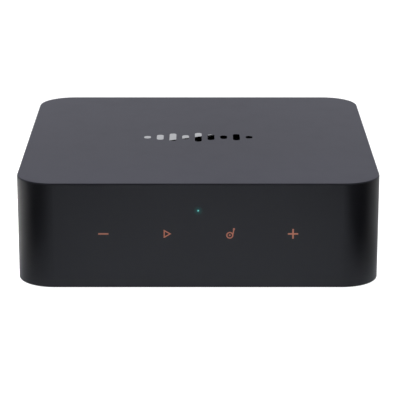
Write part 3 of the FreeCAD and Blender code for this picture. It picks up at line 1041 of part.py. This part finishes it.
def nodes():
    """Every node of the assembly by name, about the middle of the body."""
    pieces = {"housing": housing(), "top_badge": group(badge_bars(0)), "status_light_pipe": light_pipe(0),
              "icon_light_guide": light_guide()}
    pieces.update(icons())
    pieces.update(touch_board=touch_board(), touch_electrodes=touch_electrodes(), touch_leds=touch_leds(),
                  touch_controller=touch_controller(), touch_ribbon=ribbon(0),
                  ribbon_sockets=ribbon_sockets())
    pieces.update(base_cover=base_cover(), rubber_foot=foot_ring(0, (0, BODY_BOTTOM + FOOT_SUNK)),
                  base_screws=base_screws(), weight_plate=weight_plate())
    pieces.update(main_board=main_board(), board_screws=board_screws(), processor_chip=processor_chip(),
                  board_chips=board_chips(), processor_shield=processor_shield(), thermal_pad=thermal_pad(),
                  heat_sink=heat_sink(), heat_sink_pins=heat_sink_pins(), wireless_module=wireless_module(),
                  antennas=antennas(), antenna_leads=antenna_leads(), dac_chip=dac_chip(),
                  filter_capacitors=filter_capacitors(), power_inductors=power_inductors(),
                  crystals=crystals(), small_components=small_components())
    pieces.update(rear_panel=rear_panel(), usb_c_shell=usb_c_shell(), usb_c_tongue=usb_c_tongue(),
                  lan_shield=lan_shield(), lan_insert=lan_insert(), lan_contacts=lan_contacts(),
                  lan_lights=group(lan_light_boxes(0)), trigger_jack_body=trigger_jack_body(),
                  trigger_jack_sleeve=trigger_jack_sleeve())
    for name, part in (("optical_in", "receiver"), ("optical_out", "emitter")):
        x = PORT_X[name]
        pieces[name + "_body"] = optical_body(x)
        pieces[name + "_shutter"] = optical_door(x)
        pieces[name + "_spring"] = optical_spring(x)
        pieces[name + "_" + part] = opto_part(x)
    pieces["coax_block"] = phono_block(PORT_X["coax"], PHONO_LOW + PHONO_BLOCK_OVER)
    pieces["line_blocks"] = group(phono_block(PORT_X[name], PHONO_HIGH + PHONO_BLOCK_OVER)
                                  for name in ("line_out", "line_in"))
    pieces["phono_barrels"] = group(phono_barrel(axis) for axis in PHONO_AXES)
    pieces["phono_contacts"] = group(phono_contact(axis) for axis in PHONO_AXES)
    pieces["coax_insulator"] = insulator(COAX_AXES[0])
    pieces["left_insulators"] = group(insulator(axis) for axis in LEFT_AXES)
    pieces["right_insulators"] = group(insulator(axis) for axis in RIGHT_AXES)
    return pieces


def main():
    os.makedirs("parts", exist_ok=True)
    for name, shape in nodes().items():
        moved(shape, SHIFT.x, SHIFT.y, SHIFT.z).exportStep("parts/" + name + ".step")


if __name__ == "__main__":
    main()
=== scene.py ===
"""Looks for the bluetooth audio receiver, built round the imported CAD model.

Every CAD node keeps its shape and gets a procedural material. On top come flat pieces that are too thin for
the CAD model: the symbols over the sockets, contact pads and a blank label. Metres, in the CAD model's own
frame: +X right, +Y to the back, +Z up. Materials use object coordinates, so their grain stays put on the
piece when a door swings.
"""

import math

import bmesh
import bpy
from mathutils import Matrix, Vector


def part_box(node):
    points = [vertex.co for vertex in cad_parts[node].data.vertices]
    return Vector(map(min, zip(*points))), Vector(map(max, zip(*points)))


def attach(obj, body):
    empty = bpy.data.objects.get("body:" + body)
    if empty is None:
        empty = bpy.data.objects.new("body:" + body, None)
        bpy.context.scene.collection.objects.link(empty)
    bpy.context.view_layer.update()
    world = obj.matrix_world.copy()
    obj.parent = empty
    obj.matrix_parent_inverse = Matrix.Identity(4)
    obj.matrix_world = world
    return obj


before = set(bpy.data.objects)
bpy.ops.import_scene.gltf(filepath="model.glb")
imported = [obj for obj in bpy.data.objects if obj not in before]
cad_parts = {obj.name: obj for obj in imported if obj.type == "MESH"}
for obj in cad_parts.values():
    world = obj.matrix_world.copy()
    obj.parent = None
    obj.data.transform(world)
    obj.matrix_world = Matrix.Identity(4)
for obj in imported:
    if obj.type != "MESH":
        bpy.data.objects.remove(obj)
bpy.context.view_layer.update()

MM = 0.001


# ---- Node trees ----
class Shading:
    """A Principled material with short calls for the textures that feed it."""

    def __init__(self, name, **inputs):
        self.material = bpy.data.materials.new(name)
        self.material.use_nodes = True
        self.tree = self.material.node_tree
        self.shader = self.tree.nodes["Principled BSDF"]
        for socket, value in inputs.items():
            self.shader.inputs[socket.replace("_", " ")].default_value = value
        self.place = self.tree.nodes.new("ShaderNodeTexCoord").outputs["Object"]

    def node(self, kind, inputs=(), **settings):
        made = self.tree.nodes.new("ShaderNode" + kind)
        for name, value in settings.items():
            setattr(made, name, value)
        for socket, value in dict(inputs).items():
            if isinstance(value, bpy.types.NodeSocket):
                self.tree.links.new(value, made.inputs[socket])
            else:
                made.inputs[socket].default_value = value
        return made

    def stretched(self, scale):
        """Object coordinates, stretched so that a texture runs along one axis."""
        return self.node("Mapping", {"Vector": self.place, "Scale": scale}).outputs["Vector"]

    def noise(self, size, detail=2.0, roughness=0.5, stretch=None):
        """Noise with features about size metres wide."""
        vector = self.stretched(stretch) if stretch else self.place
        made = self.node("TexNoise", {"Vector": vector, "Scale": 1 / size, "Detail": detail,
                                      "Roughness": roughness})
        return made.outputs["Fac"]

    def cells(self, size, feature="F1", randomness=1.0):
        made = self.node("TexVoronoi", {"Vector": self.place, "Scale": 1 / size, "Randomness": randomness},
                         feature=feature)
        return made.outputs["Distance"]

    def ranged(self, value, low, high, start=0.0, end=1.0):
        """Maps low..high onto start..end, and stops there."""
        made = self.node("MapRange", {"Value": value, "From Min": low, "From Max": high, "To Min": start,
                                      "To Max": end})
        return made.outputs["Result"]

    def maths(self, operation, first, second):
        return self.node("Math", {0: first, 1: second}, operation=operation).outputs["Value"]

    def mix(self, share, first, second):
        """A colour between two: plain colours or sockets."""
        made = self.node("Mix", data_type="RGBA")
        factor, colour_a, colour_b = made.inputs["Factor"], made.inputs[6], made.inputs[7]
        for socket, value in ((factor, share), (colour_a, first), (colour_b, second)):
            if isinstance(value, bpy.types.NodeSocket):
                self.tree.links.new(value, socket)
            else:
                socket.default_value = value
        return made.outputs[2]

    def sharp_edge_mask(self, radius):
        """0 on flat parts and 1 on sharp outer edges, broken up by noise."""
        rounded = self.node("Bevel", {"Radius": radius}, samples=6).outputs["Normal"]
        flat = self.node("NewGeometry").outputs["Normal"]
        dot = self.node("VectorMath", {0: rounded, 1: flat}, operation="DOT_PRODUCT").outputs["Value"]
        edge = self.ranged(dot, 0.99, 0.93)
        return self.maths("MULTIPLY", edge, self.ranged(self.noise(1.6 * MM, 4.0), 0.4, 0.62))

    def bump(self, height, distance):
        return self.node("Bump", {"Height": height, "Distance": distance, "Strength": 1.0}).outputs["Normal"]

    def plug(self, socket, value):
        self.tree.links.new(value, self.shader.inputs[socket])


def shade(colour, factor):
    return tuple(min(1.0, c * factor) for c in colour[:3]) + (1.0,)


def plastic(name, colour, roughness=0.45, grain=0.25 * MM, depth=0.006 * MM, ior=1.45, edge_brightening=0.25, smudge=0.05,
            halo=None, **inputs):
    """Moulded plastic: mottled colour, a fine eroded grain, faint smudges and polished edges, made slightly
    pale partly as wear and partly as a painted highlight.

    halo is the (centre, reach) of a light whose shine leaks into the plastic round it."""
    s = Shading(name, IOR=ior, **inputs)
    broad = s.noise(18 * MM, 3.0)
    fine = s.noise(grain, 3.0, 0.6)
    edge = s.sharp_edge_mask(0.25 * MM)
    body = s.mix(s.ranged(broad, 0.3, 0.7), shade(colour, 0.9), shade(colour, 1.1))
    speckled = s.mix(s.ranged(fine, 0.35, 0.7, 0.0, 0.35), body, shade(colour, 1.35))
    pale = shade(tuple(c + 0.02 for c in colour[:3]), 1.5)
    # Sharp edges turn paler: partly wear, partly a painted highlight.
    s.plug("Base Color", s.mix(s.maths("MULTIPLY", edge, edge_brightening), speckled, pale))
    smudged = s.ranged(s.noise(9 * MM, 5.0, 0.6), 0.45, 0.75, roughness, roughness + smudge)
    rough = s.maths("ADD", smudged, s.ranged(fine, 0.3, 0.7, -0.02, 0.02))
    s.plug("Roughness", s.maths("SUBTRACT", rough, s.maths("MULTIPLY", edge, 0.08)))
    s.plug("Normal", s.bump(fine, depth))
    if halo:
        centre, reach = halo
        away = s.node("VectorMath", {0: s.place, 1: centre}, operation="DISTANCE").outputs["Value"]
        s.plug("Emission Strength", s.ranged(away, 0.3 * reach, reach, 1.0, 0.0))
    return s.material


def metal(name, colour, roughness=0.2, brushed=(1, 0.06, 1)):
    """Plated or drawn metal: fine scratches along one axis, cloudy tarnish and brighter rubbed edges."""
    tarnish, edge_brightening = 0.15, 0.35
    s = Shading(name, Metallic=1.0)
    edge = s.sharp_edge_mask(0.15 * MM)
    cloud = s.ranged(s.noise(3 * MM, 5.0, 0.6), 0.4, 0.7)
    dull = s.mix(s.maths("MULTIPLY", cloud, tarnish), colour, shade(colour, 0.55))
    s.plug("Base Color", s.mix(s.maths("MULTIPLY", edge, edge_brightening), dull, shade(colour, 1.3)))
    lines = s.noise(0.12 * MM, 3.0, 0.6, stretch=brushed)
    rough = s.maths("ADD", s.ranged(lines, 0.3, 0.7, roughness - 0.05, roughness + 0.07),
                    s.maths("MULTIPLY", cloud, 0.12))
    s.plug("Roughness", rough)
    s.plug("Normal", s.bump(lines, 0.003 * MM))
    return s.material


def circuit_board(name, mask, copper):
    """Solder mask over copper tracks: fine parallel lines, broken into fields, with bare round vias."""
    s = Shading(name, IOR=1.5)
    fields = s.cells(9 * MM, "F1", 0.8)
    lines = s.node("TexWave", {"Vector": s.place, "Scale": 130.0, "Distortion": 1.5, "Detail": 1.0},
                   wave_type="BANDS", bands_direction="DIAGONAL").outputs["Fac"]
    tracks = s.maths("MULTIPLY", s.ranged(lines, 0.55, 0.65), s.ranged(fields, 0.25, 0.3))
    vias = s.ranged(s.cells(2.6 * MM, "F1", 0.9), 0.14, 0.1)
    covered = s.mix(s.maths("MULTIPLY", tracks, 0.6), mask, shade(mask, 2.0))
    s.plug("Base Color", s.mix(vias, covered, copper))
    s.plug("Metallic", s.maths("MULTIPLY", vias, 0.9))
    s.plug("Roughness", s.ranged(s.noise(4 * MM, 4.0), 0.3, 0.7, 0.28, 0.42))
    s.plug("Normal", s.bump(s.maths("ADD", tracks, vias), 0.03 * MM))
    return s.material


def rubber(name, colour):
    """Dull rubber: soft mottling, a pebbled skin and dusty patches."""
    s = Shading(name, IOR=1.5)
    dust = s.ranged(s.noise(6 * MM, 6.0, 0.65), 0.5, 0.75)
    pebbles = s.cells(0.5 * MM, "SMOOTH_F1")
    s.plug("Base Color", s.mix(s.maths("MULTIPLY", dust, 0.35), colour, shade(colour, 2.2)))
    s.plug("Roughness", s.ranged(dust, 0.0, 1.0, 0.72, 0.9))
    s.plug("Normal", s.bump(pebbles, 0.02 * MM))
    return s.material


def mirror(name):
    """A polished mirror inlay with faint hairlines."""
    s = Shading(name, Metallic=1.0)
    hair = s.noise(0.2 * MM, 2.0, 0.5, stretch=(1, 0.1, 1))
    cloud = s.noise(5 * MM, 3.0)
    s.plug("Base Color", s.mix(s.ranged(cloud, 0.35, 0.65), (0.69, 0.70, 0.60, 1), (0.73, 0.74, 0.64, 1)))
    s.plug("Roughness", s.ranged(hair, 0.35, 0.7, 0.0, 0.015))
    return s.material


def glow(name, colour, core, strength, centre, radius):
    """A lit lens: its light fades from the core's colour in the centre to nothing at the radius."""
    s = Shading(name, Roughness=0.25)
    middle = s.node("VectorMath", {0: s.place, 1: centre}, operation="DISTANCE").outputs["Value"]
    fade = s.ranged(middle, 0.0, radius, 1.0, 0.0)
    s.plug("Base Color", s.mix(fade, shade(colour, 0.15), shade(colour, 0.6)))
    s.plug("Emission Color", s.mix(s.ranged(fade, 0.55, 0.9), colour, core))
    s.plug("Emission Strength", s.maths("MULTIPLY", s.maths("POWER", fade, 1.5), strength))
    return s.material


def dress(material, *nodes):
    """Gives CAD nodes their material."""
    for name in nodes:
        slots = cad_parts[name].data.materials
        for i in range(len(slots)):
            slots[i] = material


# ---- Materials of the CAD nodes ----
BLACK = (0.002, 0.002, 0.003, 1.0)
COPPER = (0.46, 0.16, 0.09, 1.0)
TEAL = (0.03, 0.42, 0.38, 1.0)
TEAL_CORE = (0.42, 0.75, 0.7, 1.0)
TEAL_SHINE = (0.0, 0.034, 0.032, 1.0)
GOLD = (0.95, 0.66, 0.28, 1.0)

light_low, light_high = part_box("status_light_pipe")
LIGHT_FACE = Vector(((light_low.x + light_high.x) / 2, light_low.y, (light_low.z + light_high.z) / 2))

dress(plastic("housing_plastic", BLACK, roughness=0.34, grain=0.18 * MM, depth=0.0035 * MM, smudge=0.015,
              halo=(LIGHT_FACE, 1.9 * MM), Emission_Color=TEAL_SHINE),
      "housing")
dress(plastic("panel_plastic", (0.013, 0.013, 0.014, 1), roughness=0.5, grain=0.35 * MM, depth=0.02 * MM),
      "rear_panel")
dress(plastic("base_plastic", (0.014, 0.014, 0.015, 1), roughness=0.55, grain=0.4 * MM, depth=0.03 * MM),
      "base_cover")
dress(mirror("badge_mirror"), "top_badge")
# The icons get a faint painted glow in their own copper colour.
dress(plastic("icon_inlay", COPPER, roughness=0.4, grain=0.15 * MM, depth=0.002 * MM, edge_brightening=0.1,
              Emission_Color=COPPER, Emission_Strength=0.08),
      "minus_icon", "play_icon", "preset_icon", "plus_icon")
dress(glow("status_lens", TEAL, TEAL_CORE, 1.7, LIGHT_FACE, 0.6 * MM), "status_light_pipe")
dress(plastic("light_guide", (0.75, 0.76, 0.74, 1), roughness=0.2, edge_brightening=0.1, Transmission_Weight=0.4),
      "icon_light_guide")
dress(circuit_board("circuit_board", (0.008, 0.045, 0.022, 1), (0.75, 0.5, 0.25, 1)),
      "main_board", "touch_board", "antennas")
dress(metal("copper_pad", (0.85, 0.45, 0.3, 1), roughness=0.35), "touch_electrodes")
dress(plastic("light_body", (0.75, 0.75, 0.5, 1), roughness=0.2, edge_brightening=0.1, Transmission_Weight=0.3),
      "touch_leds")
dress(plastic("lan_light", (0.55, 0.6, 0.35, 1), roughness=0.15, edge_brightening=0.1, Transmission_Weight=0.3),
      "lan_lights")
dress(plastic("chip_plastic", (0.018, 0.018, 0.02, 1), roughness=0.5, grain=0.12 * MM, depth=0.004 * MM),
      "touch_controller", "board_chips", "processor_chip", "dac_chip", "power_inductors",
      "optical_in_receiver", "optical_out_emitter")
dress(plastic("ribbon_film", (0.55, 0.3, 0.08, 1), roughness=0.25, edge_brightening=0.1), "touch_ribbon")
dress(plastic("ivory_plastic", (0.68, 0.64, 0.5, 1), roughness=0.4), "ribbon_sockets")
dress(rubber("foot_rubber", (0.012, 0.012, 0.012, 1)), "rubber_foot")
dress(metal("screw_zinc", (0.55, 0.56, 0.6, 1), roughness=0.3), "base_screws", "board_screws")
dress(metal("plate_steel", (0.5, 0.5, 0.52, 1), roughness=0.35, brushed=(0.05, 1, 1)), "weight_plate")
dress(metal("tinned_steel", (0.7, 0.7, 0.7, 1), roughness=0.28),
      "processor_shield", "wireless_module", "crystals", "lan_shield", "usb_c_shell")
dress(rubber("pad_silicone", (0.25, 0.35, 0.42, 1)), "thermal_pad")
dress(metal("sink_aluminium", (0.62, 0.62, 0.64, 1), roughness=0.4), "heat_sink")
dress(plastic("pin_nylon", (0.75, 0.74, 0.68, 1), roughness=0.4), "heat_sink_pins")
dress(rubber("lead_jacket", (0.05, 0.05, 0.055, 1)), "antenna_leads")
dress(metal("can_aluminium", (0.75, 0.75, 0.76, 1), roughness=0.22), "filter_capacitors")
dress(plastic("ceramic", (0.28, 0.2, 0.13, 1), roughness=0.35), "small_components")
dress(plastic("socket_plastic", (0.012, 0.012, 0.013, 1), roughness=0.3, grain=0.2 * MM, depth=0.002 * MM,
              ior=1.5),
      "usb_c_tongue", "lan_insert", "trigger_jack_body", "optical_in_body", "optical_out_body", "coax_block",
      "line_blocks")
dress(plastic("door_plastic", (0.022, 0.022, 0.024, 1), roughness=0.36, grain=0.2 * MM, depth=0.003 * MM),
      "optical_in_shutter", "optical_out_shutter")
dress(metal("bright_nickel", (0.74, 0.72, 0.68, 1), roughness=0.14), "phono_barrels", "trigger_jack_sleeve")
dress(metal("gold_flash", GOLD), "phono_contacts", "lan_contacts")
dress(metal("spring_steel", (0.5, 0.5, 0.52, 1), roughness=0.25), "optical_in_spring", "optical_out_spring")
dress(plastic("orange_insulator", (0.72, 0.19, 0.015, 1), roughness=0.3), "coax_insulator")
dress(plastic("white_insulator", (0.72, 0.72, 0.69, 1), roughness=0.3), "left_insulators")
dress(plastic("red_insulator", (0.5, 0.012, 0.012, 1), roughness=0.3), "right_insulators")


# ---- Printed and plated details, too thin for the CAD model ----
SYMBOL_LINE = 0.32 * MM
SYMBOL_ROW = 26.2 * MM
PRINT_THICK = 0.02 * MM
USB_PADS, USB_PAD_PITCH = 12, 0.5
USB_PAD_WIDTH, USB_PAD_LENGTH, USB_PAD_BACK = 0.26 * MM, 2.6, 0.3 * MM
TONGUE_HALF = 0.35 * MM
LABEL_WIDTH, LABEL_DEPTH, LABEL_R, LABEL_THICK = 63.4 * MM, 35.4 * MM, 2.7 * MM, 0.12 * MM
LABEL_RECESS = 0.3 * MM


def point(x, y):
    """A point of a symbol, from millimetres."""
    return Vector((x, y)) * MM


def bar(start, end, width=SYMBOL_LINE):
    """A straight stroke from one point to another."""
    side = (end - start).normalized().orthogonal() * width / 2
    return [[start + side, start - side, end - side, end + side]]


def arc(middle, radius, first=0, last=360, steps=24):
    """A ring, or a part of one between two angles in degrees."""
    rims = []
    for i in range(steps + 1):
        step = i % steps if last - first == 360 else i
        angle = math.radians(first + (last - first) * step / steps)
        outward = Vector((math.cos(angle), math.sin(angle)))
        rims.append((middle + outward * (radius - SYMBOL_LINE / 2),
                     middle + outward * (radius + SYMBOL_LINE / 2)))
    return [[a[0], a[1], b[1], b[0]] for a, b in zip(rims, rims[1:])]


def arrow(start, tip):
    """A stroke with a solid head."""
    ahead = (tip - start).normalized()
    neck = tip - ahead * 0.9 * MM
    across = ahead.orthogonal() * 0.55 * MM
    return [bar(start, neck), [[neck + across, neck - across, tip]]]


def rounded_sheet(width, depth, radius):
    """A rectangle with round corners, about its middle."""
    corners = []
    steps = 8
    for turn, (sx, sy) in enumerate(((1, 1), (-1, 1), (-1, -1), (1, -1))):
        middle = Vector((sx * (width / 2 - radius), sy * (depth / 2 - radius)))
        for i in range(steps + 1):
            angle = math.radians(90 * (turn + i / steps))
            corners.append(middle + radius * Vector((math.cos(angle), math.sin(angle))))
    return [corners]


def thin_piece(name, shapes, onto, thick, material):
    """Flat shapes raised off a surface. onto(u, v, out) is the point of the surface, and out is above it."""
    made = bmesh.new()
    for faces in shapes:
        faces = [[tuple(corner) for corner in face] for face in faces]
        low, high = {}, {}
        for corner in dict.fromkeys(corner for face in faces for corner in face):
            low[corner] = made.verts.new(onto(*corner, 0))
            high[corner] = made.verts.new(onto(*corner, thick))
        sides = [(a, b) for face in faces for a, b in zip(face, face[1:] + face[:1])]
        for face in faces:
            made.faces.new([high[corner] for corner in face])
            made.faces.new([low[corner] for corner in reversed(face)])
        for a, b in sides:
            if (b, a) not in sides:
                made.faces.new([high[b], high[a], low[a], low[b]])
    bmesh.ops.recalc_face_normals(made, faces=made.faces)
    mesh = bpy.data.meshes.new(name)
    made.to_mesh(mesh)
    made.free()
    mesh.materials.append(material)
    piece = bpy.data.objects.new(name, mesh)
    bpy.context.collection.objects.link(piece)
    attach(piece, "receiver")


def middle_of(node):
    low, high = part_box(node)
    return (low + high) / 2


def symbol_shapes():
    """The symbol of each kind of socket, about its own middle, as seen from behind."""
    net = [bar(point(0, 0.7), point(0, 0)), bar(point(-1.2, -0.16), point(1.2, -0.16))]
    squares = ((-0.5, 1.1), (-1.7, -1.1), (0.7, -1.1))
    net += [bar(point(x, y), point(x + 1.0, y), 0.8 * MM) for x, y in squares]
    net += [bar(point(x, -0.32), point(x, -0.7)) for x in (-1.04, 1.04)]
    pulse = [bar(point(-1.6, -0.8), point(-0.54, -0.8)), bar(point(-0.7, -0.64), point(-0.7, 0.64)),
             bar(point(-0.86, 0.8), point(0.86, 0.8)), bar(point(0.7, 0.64), point(0.7, -0.64)),
             bar(point(0.54, -0.8), point(1.6, -0.8))]
    beam = [arc(point(-0.9, 0), 0.9 * MM), arc(point(-0.9, 0), 0.2 * MM, steps=12)]
    plain = [arc(point(-0.9, 0), 0.9 * MM)]
    wall = [bar(point(-0.4, -1.0), point(-0.4, 1.0))]
    return {"power": [arc(point(0, 0), 1.3 * MM, 125, 415), bar(point(0, 0.4), point(0, 1.7))],
            "network": net,
            "trigger": pulse,
            "optical_in": beam + arrow(point(2.6, 0), point(0.5, 0)),
            "optical_out": beam + arrow(point(0.4, 0), point(2.5, 0)),
            "coax_out": plain + arrow(point(0.4, 0), point(2.5, 0)),
            "line_in": wall + arrow(point(2.0, 0), point(0.0, 0)),
            "line_out": wall + arrow(point(0.0, 0), point(2.0, 0))}


def printed_symbols(material):
    """A symbol over each socket, and one between the two sockets of each phono pair."""
    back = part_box("rear_panel")[1].y
    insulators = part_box("right_insulators")
    pair_z = (middle_of("left_insulators").z + middle_of("right_insulators").z) / 2
    reach = (insulators[1].z - insulators[0].z) / 2
    places = {"power": (middle_of("usb_c_shell").x, SYMBOL_ROW),
              "network": (middle_of("lan_shield").x, SYMBOL_ROW),
              "trigger": (middle_of("trigger_jack_sleeve").x, SYMBOL_ROW),
              "optical_in": (middle_of("optical_in_body").x, SYMBOL_ROW),
              "optical_out": (middle_of("optical_out_body").x, SYMBOL_ROW),
              "coax_out": (middle_of("coax_insulator").x, SYMBOL_ROW),
              "line_in": (insulators[1].x - reach, pair_z), "line_out": (insulators[0].x + reach, pair_z)}
    for name, shapes in symbol_shapes().items():
        x, z = places[name]
        thin_piece(name + "_symbol", shapes, lambda u, v, out: (x - u, back + out, z + v), PRINT_THICK,
                   material)


def contact_pads(material):
    """The gold contacts on both faces of the tongue in the USB socket."""
    middle = middle_of("usb_c_shell")
    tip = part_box("usb_c_tongue")[1].y - USB_PAD_BACK
    rows = [USB_PAD_PITCH * (i - (USB_PADS - 1) / 2) for i in range(USB_PADS)]
    shapes = [bar(point(x, 0), point(x, -USB_PAD_LENGTH), USB_PAD_WIDTH) for x in rows]
    for name, side in (("upper", 1), ("lower", -1)):
        thin_piece(name + "_usb_pads", shapes,
                   lambda u, v, out: (middle.x + u, tip + v, middle.z + side * (TONGUE_HALF + out)),
                   PRINT_THICK, material)


def rating_label(material):
    """A blank label in the shallow recess under the box."""
    y = middle_of("weight_plate").y
    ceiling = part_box("base_cover")[0].z + LABEL_RECESS
    thin_piece("blank_label", [rounded_sheet(LABEL_WIDTH, LABEL_DEPTH, LABEL_R)],
               lambda u, v, out: (u, y + v, ceiling - out), LABEL_THICK, material)


printed_symbols(plastic("symbol_ink", (0.42, 0.42, 0.43, 1), roughness=0.5, grain=0.1 * MM, depth=0.001 * MM,
                        edge_brightening=0.1))
contact_pads(metal("pad_gold", GOLD))
rating_label(plastic("label_film", (0.05, 0.05, 0.053, 1), roughness=0.42, grain=0.3 * MM, depth=0.002 * MM))


# ---- Floor, light and camera ----
FLOOR_HALF = 9.0
FLAG_LIFT = 1 * MM


def stage_card(name, corners, material):
    """A flat card of the studio, which isn't part of the object."""
    mesh = bpy.data.meshes.new(name)
    made = bmesh.new()
    made.faces.new([made.verts.new(corner) for corner in corners])
    made.to_mesh(mesh)
    made.free()
    mesh.materials.append(material)
    card = bpy.data.objects.new(name, mesh)
    bpy.context.collection.objects.link(card)
    return card


def floor(albedo, seen):
    """A pale paper sweep. Its own glow, which only the camera sees, washes the shadows out."""
    s = Shading("floor_paper", Roughness=0.9)
    grain = s.ranged(s.noise(0.4, 2.0), 0.3, 0.7, albedo - 0.01, albedo + 0.01)
    s.plug("Base Color", grain)
    s.shader.inputs["Emission Color"].default_value = (1, 1, 1, 1)
    s.shader.inputs["Specular IOR Level"].default_value = 0.0
    path = s.node("LightPath")
    s.plug("Emission Strength", s.maths("MULTIPLY", path.outputs["Is Camera Ray"], seen))
    corners = ((-1, -1), (1, -1), (1, 1), (-1, 1))
    stage_card("floor", [(x * FLOOR_HALF, y * FLOOR_HALF, 0) for x, y in corners], s.material)


def flag(name, corners):
    """A black card that only reflections see."""
    black = bpy.data.materials.new(name)
    black.use_nodes = True
    shader = black.node_tree.nodes["Principled BSDF"]
    shader.inputs["Base Color"].default_value = (0, 0, 0, 1)
    shader.inputs["Specular IOR Level"].default_value = 0.0
    card = stage_card(name, corners, black)
    for ray in ("camera", "diffuse", "shadow", "transmission"):
        setattr(card, "visible_" + ray, False)


def softbox(name, place, target, size, power, spread=180, colour=(1, 1, 1)):
    """A rectangular light that neither the camera nor a reflection sees. A small spread keeps its pool of
    light to its own size."""
    data = bpy.data.lights.new(name, "AREA")
    data.shape = "RECTANGLE"
    data.size, data.size_y = size
    data.energy = power
    data.spread = math.radians(spread)
    data.color = colour
    light = bpy.data.objects.new(name, data)
    light.location = place
    light.rotation_euler = (Vector(target) - Vector(place)).to_track_quat("-Z", "Y").to_euler()
    light.visible_camera = False
    light.visible_glossy = False
    bpy.context.collection.objects.link(light)


def pool(name, x, y, size, power, colour=(1, 1, 1)):
    """A pool of light on the floor beside the object. It is the floor's reflection that lights a side."""
    softbox(name, (x, y, 0.5), (x, y, 0), size, power, 11, colour)


def studio_world(seen, band, above):
    """White for the camera. Everything else sees a pale band round the horizon and a dim ceiling."""
    world = bpy.data.worlds.new("studio")
    world.use_nodes = True
    tree = world.node_tree
    surround = tree.nodes["Background"]
    place = tree.nodes.new("ShaderNodeTexCoord").outputs["Generated"]
    height = tree.nodes.new("ShaderNodeSeparateXYZ")
    tree.links.new(place, height.inputs["Vector"])
    ramp = tree.nodes.new("ShaderNodeValToRGB")
    ramp.color_ramp.elements[0].position, ramp.color_ramp.elements[0].color = 0.45, band
    ramp.color_ramp.elements[1].position, ramp.color_ramp.elements[1].color = 0.8, above
    tree.links.new(height.outputs["Z"], ramp.inputs["Fac"])
    tree.links.new(ramp.outputs["Color"], surround.inputs["Color"])
    pale = tree.nodes.new("ShaderNodeBackground")
    pale.inputs["Color"].default_value = seen
    path = tree.nodes.new("ShaderNodeLightPath")
    mix = tree.nodes.new("ShaderNodeMixShader")
    tree.links.new(path.outputs["Is Camera Ray"], mix.inputs["Fac"])
    tree.links.new(surround.outputs["Background"], mix.inputs[1])
    tree.links.new(pale.outputs["Background"], mix.inputs[2])
    tree.links.new(mix.outputs["Shader"], tree.nodes["World Output"].inputs["Surface"])
    bpy.context.scene.world = world


def camera(place, pitch, lens):
    data = bpy.data.cameras.new("camera")
    data.lens = lens
    data.sensor_width = 36.0
    data.clip_start, data.clip_end = 0.01, 50.0
    made = bpy.data.objects.new("camera", data)
    made.location = place
    made.rotation_euler = (math.radians(90 - pitch), 0, 0)
    bpy.context.collection.objects.link(made)
    bpy.context.scene.camera = made


bpy.context.scene.view_settings.view_transform = "Standard"
floor(albedo=0.25, seen=0.92)
studio_world(seen=(1, 1, 1, 1), band=(0.585, 0.59, 0.685, 1), above=(0.06, 0.06, 0.065, 1))
pool("front_pool", 0, -0.17, (0.16, 0.25), 0.38, (0.95, 1.0, 1.12))
pool("left_pool", -0.19, 0.04, (0.22, 0.2), 0.5)
pool("right_pool", 0.19, 0.05, (0.22, 0.2), 0.2)
softbox("back_light", (0.3, 1.2, 0.8), (0, 0.1, 0), (0.8, 0.8), 20)

body_low, body_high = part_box("housing")
BODY_MIDDLE_Y = (body_low.y + body_high.y) / 2
# The first flag puts a dark slanted edge across the mirror badge. The others lie on the floor and darken
# the front corners.
BADGE_FLAG_Y = BODY_MIDDLE_Y + 1.745
badge_flag = ((-0.0406, 0.507), (0.036, 0.4965), (0.1, 0.488), (0.1, 0.53), (-0.0406, 0.53))
right_flag = ((0.084, -0.21), (0.24, -0.17), (0.22, -0.068), (0.09, -0.083))
left_flag = ((-0.094, -0.155), (-0.17, -0.125), (-0.165, -0.075), (-0.1, -0.085))
flag("badge_flag", [(x, BADGE_FLAG_Y, z) for x, z in badge_flag])
flag("right_flag", [(x, BODY_MIDDLE_Y + y, FLAG_LIFT) for x, y in right_flag])
flag("left_flag", [(x, BODY_MIDDLE_Y + y, FLAG_LIFT) for x, y in left_flag])
camera((0.0007, BODY_MIDDLE_Y - 0.7547, 0.2409), pitch=16.69, lens=169.4)
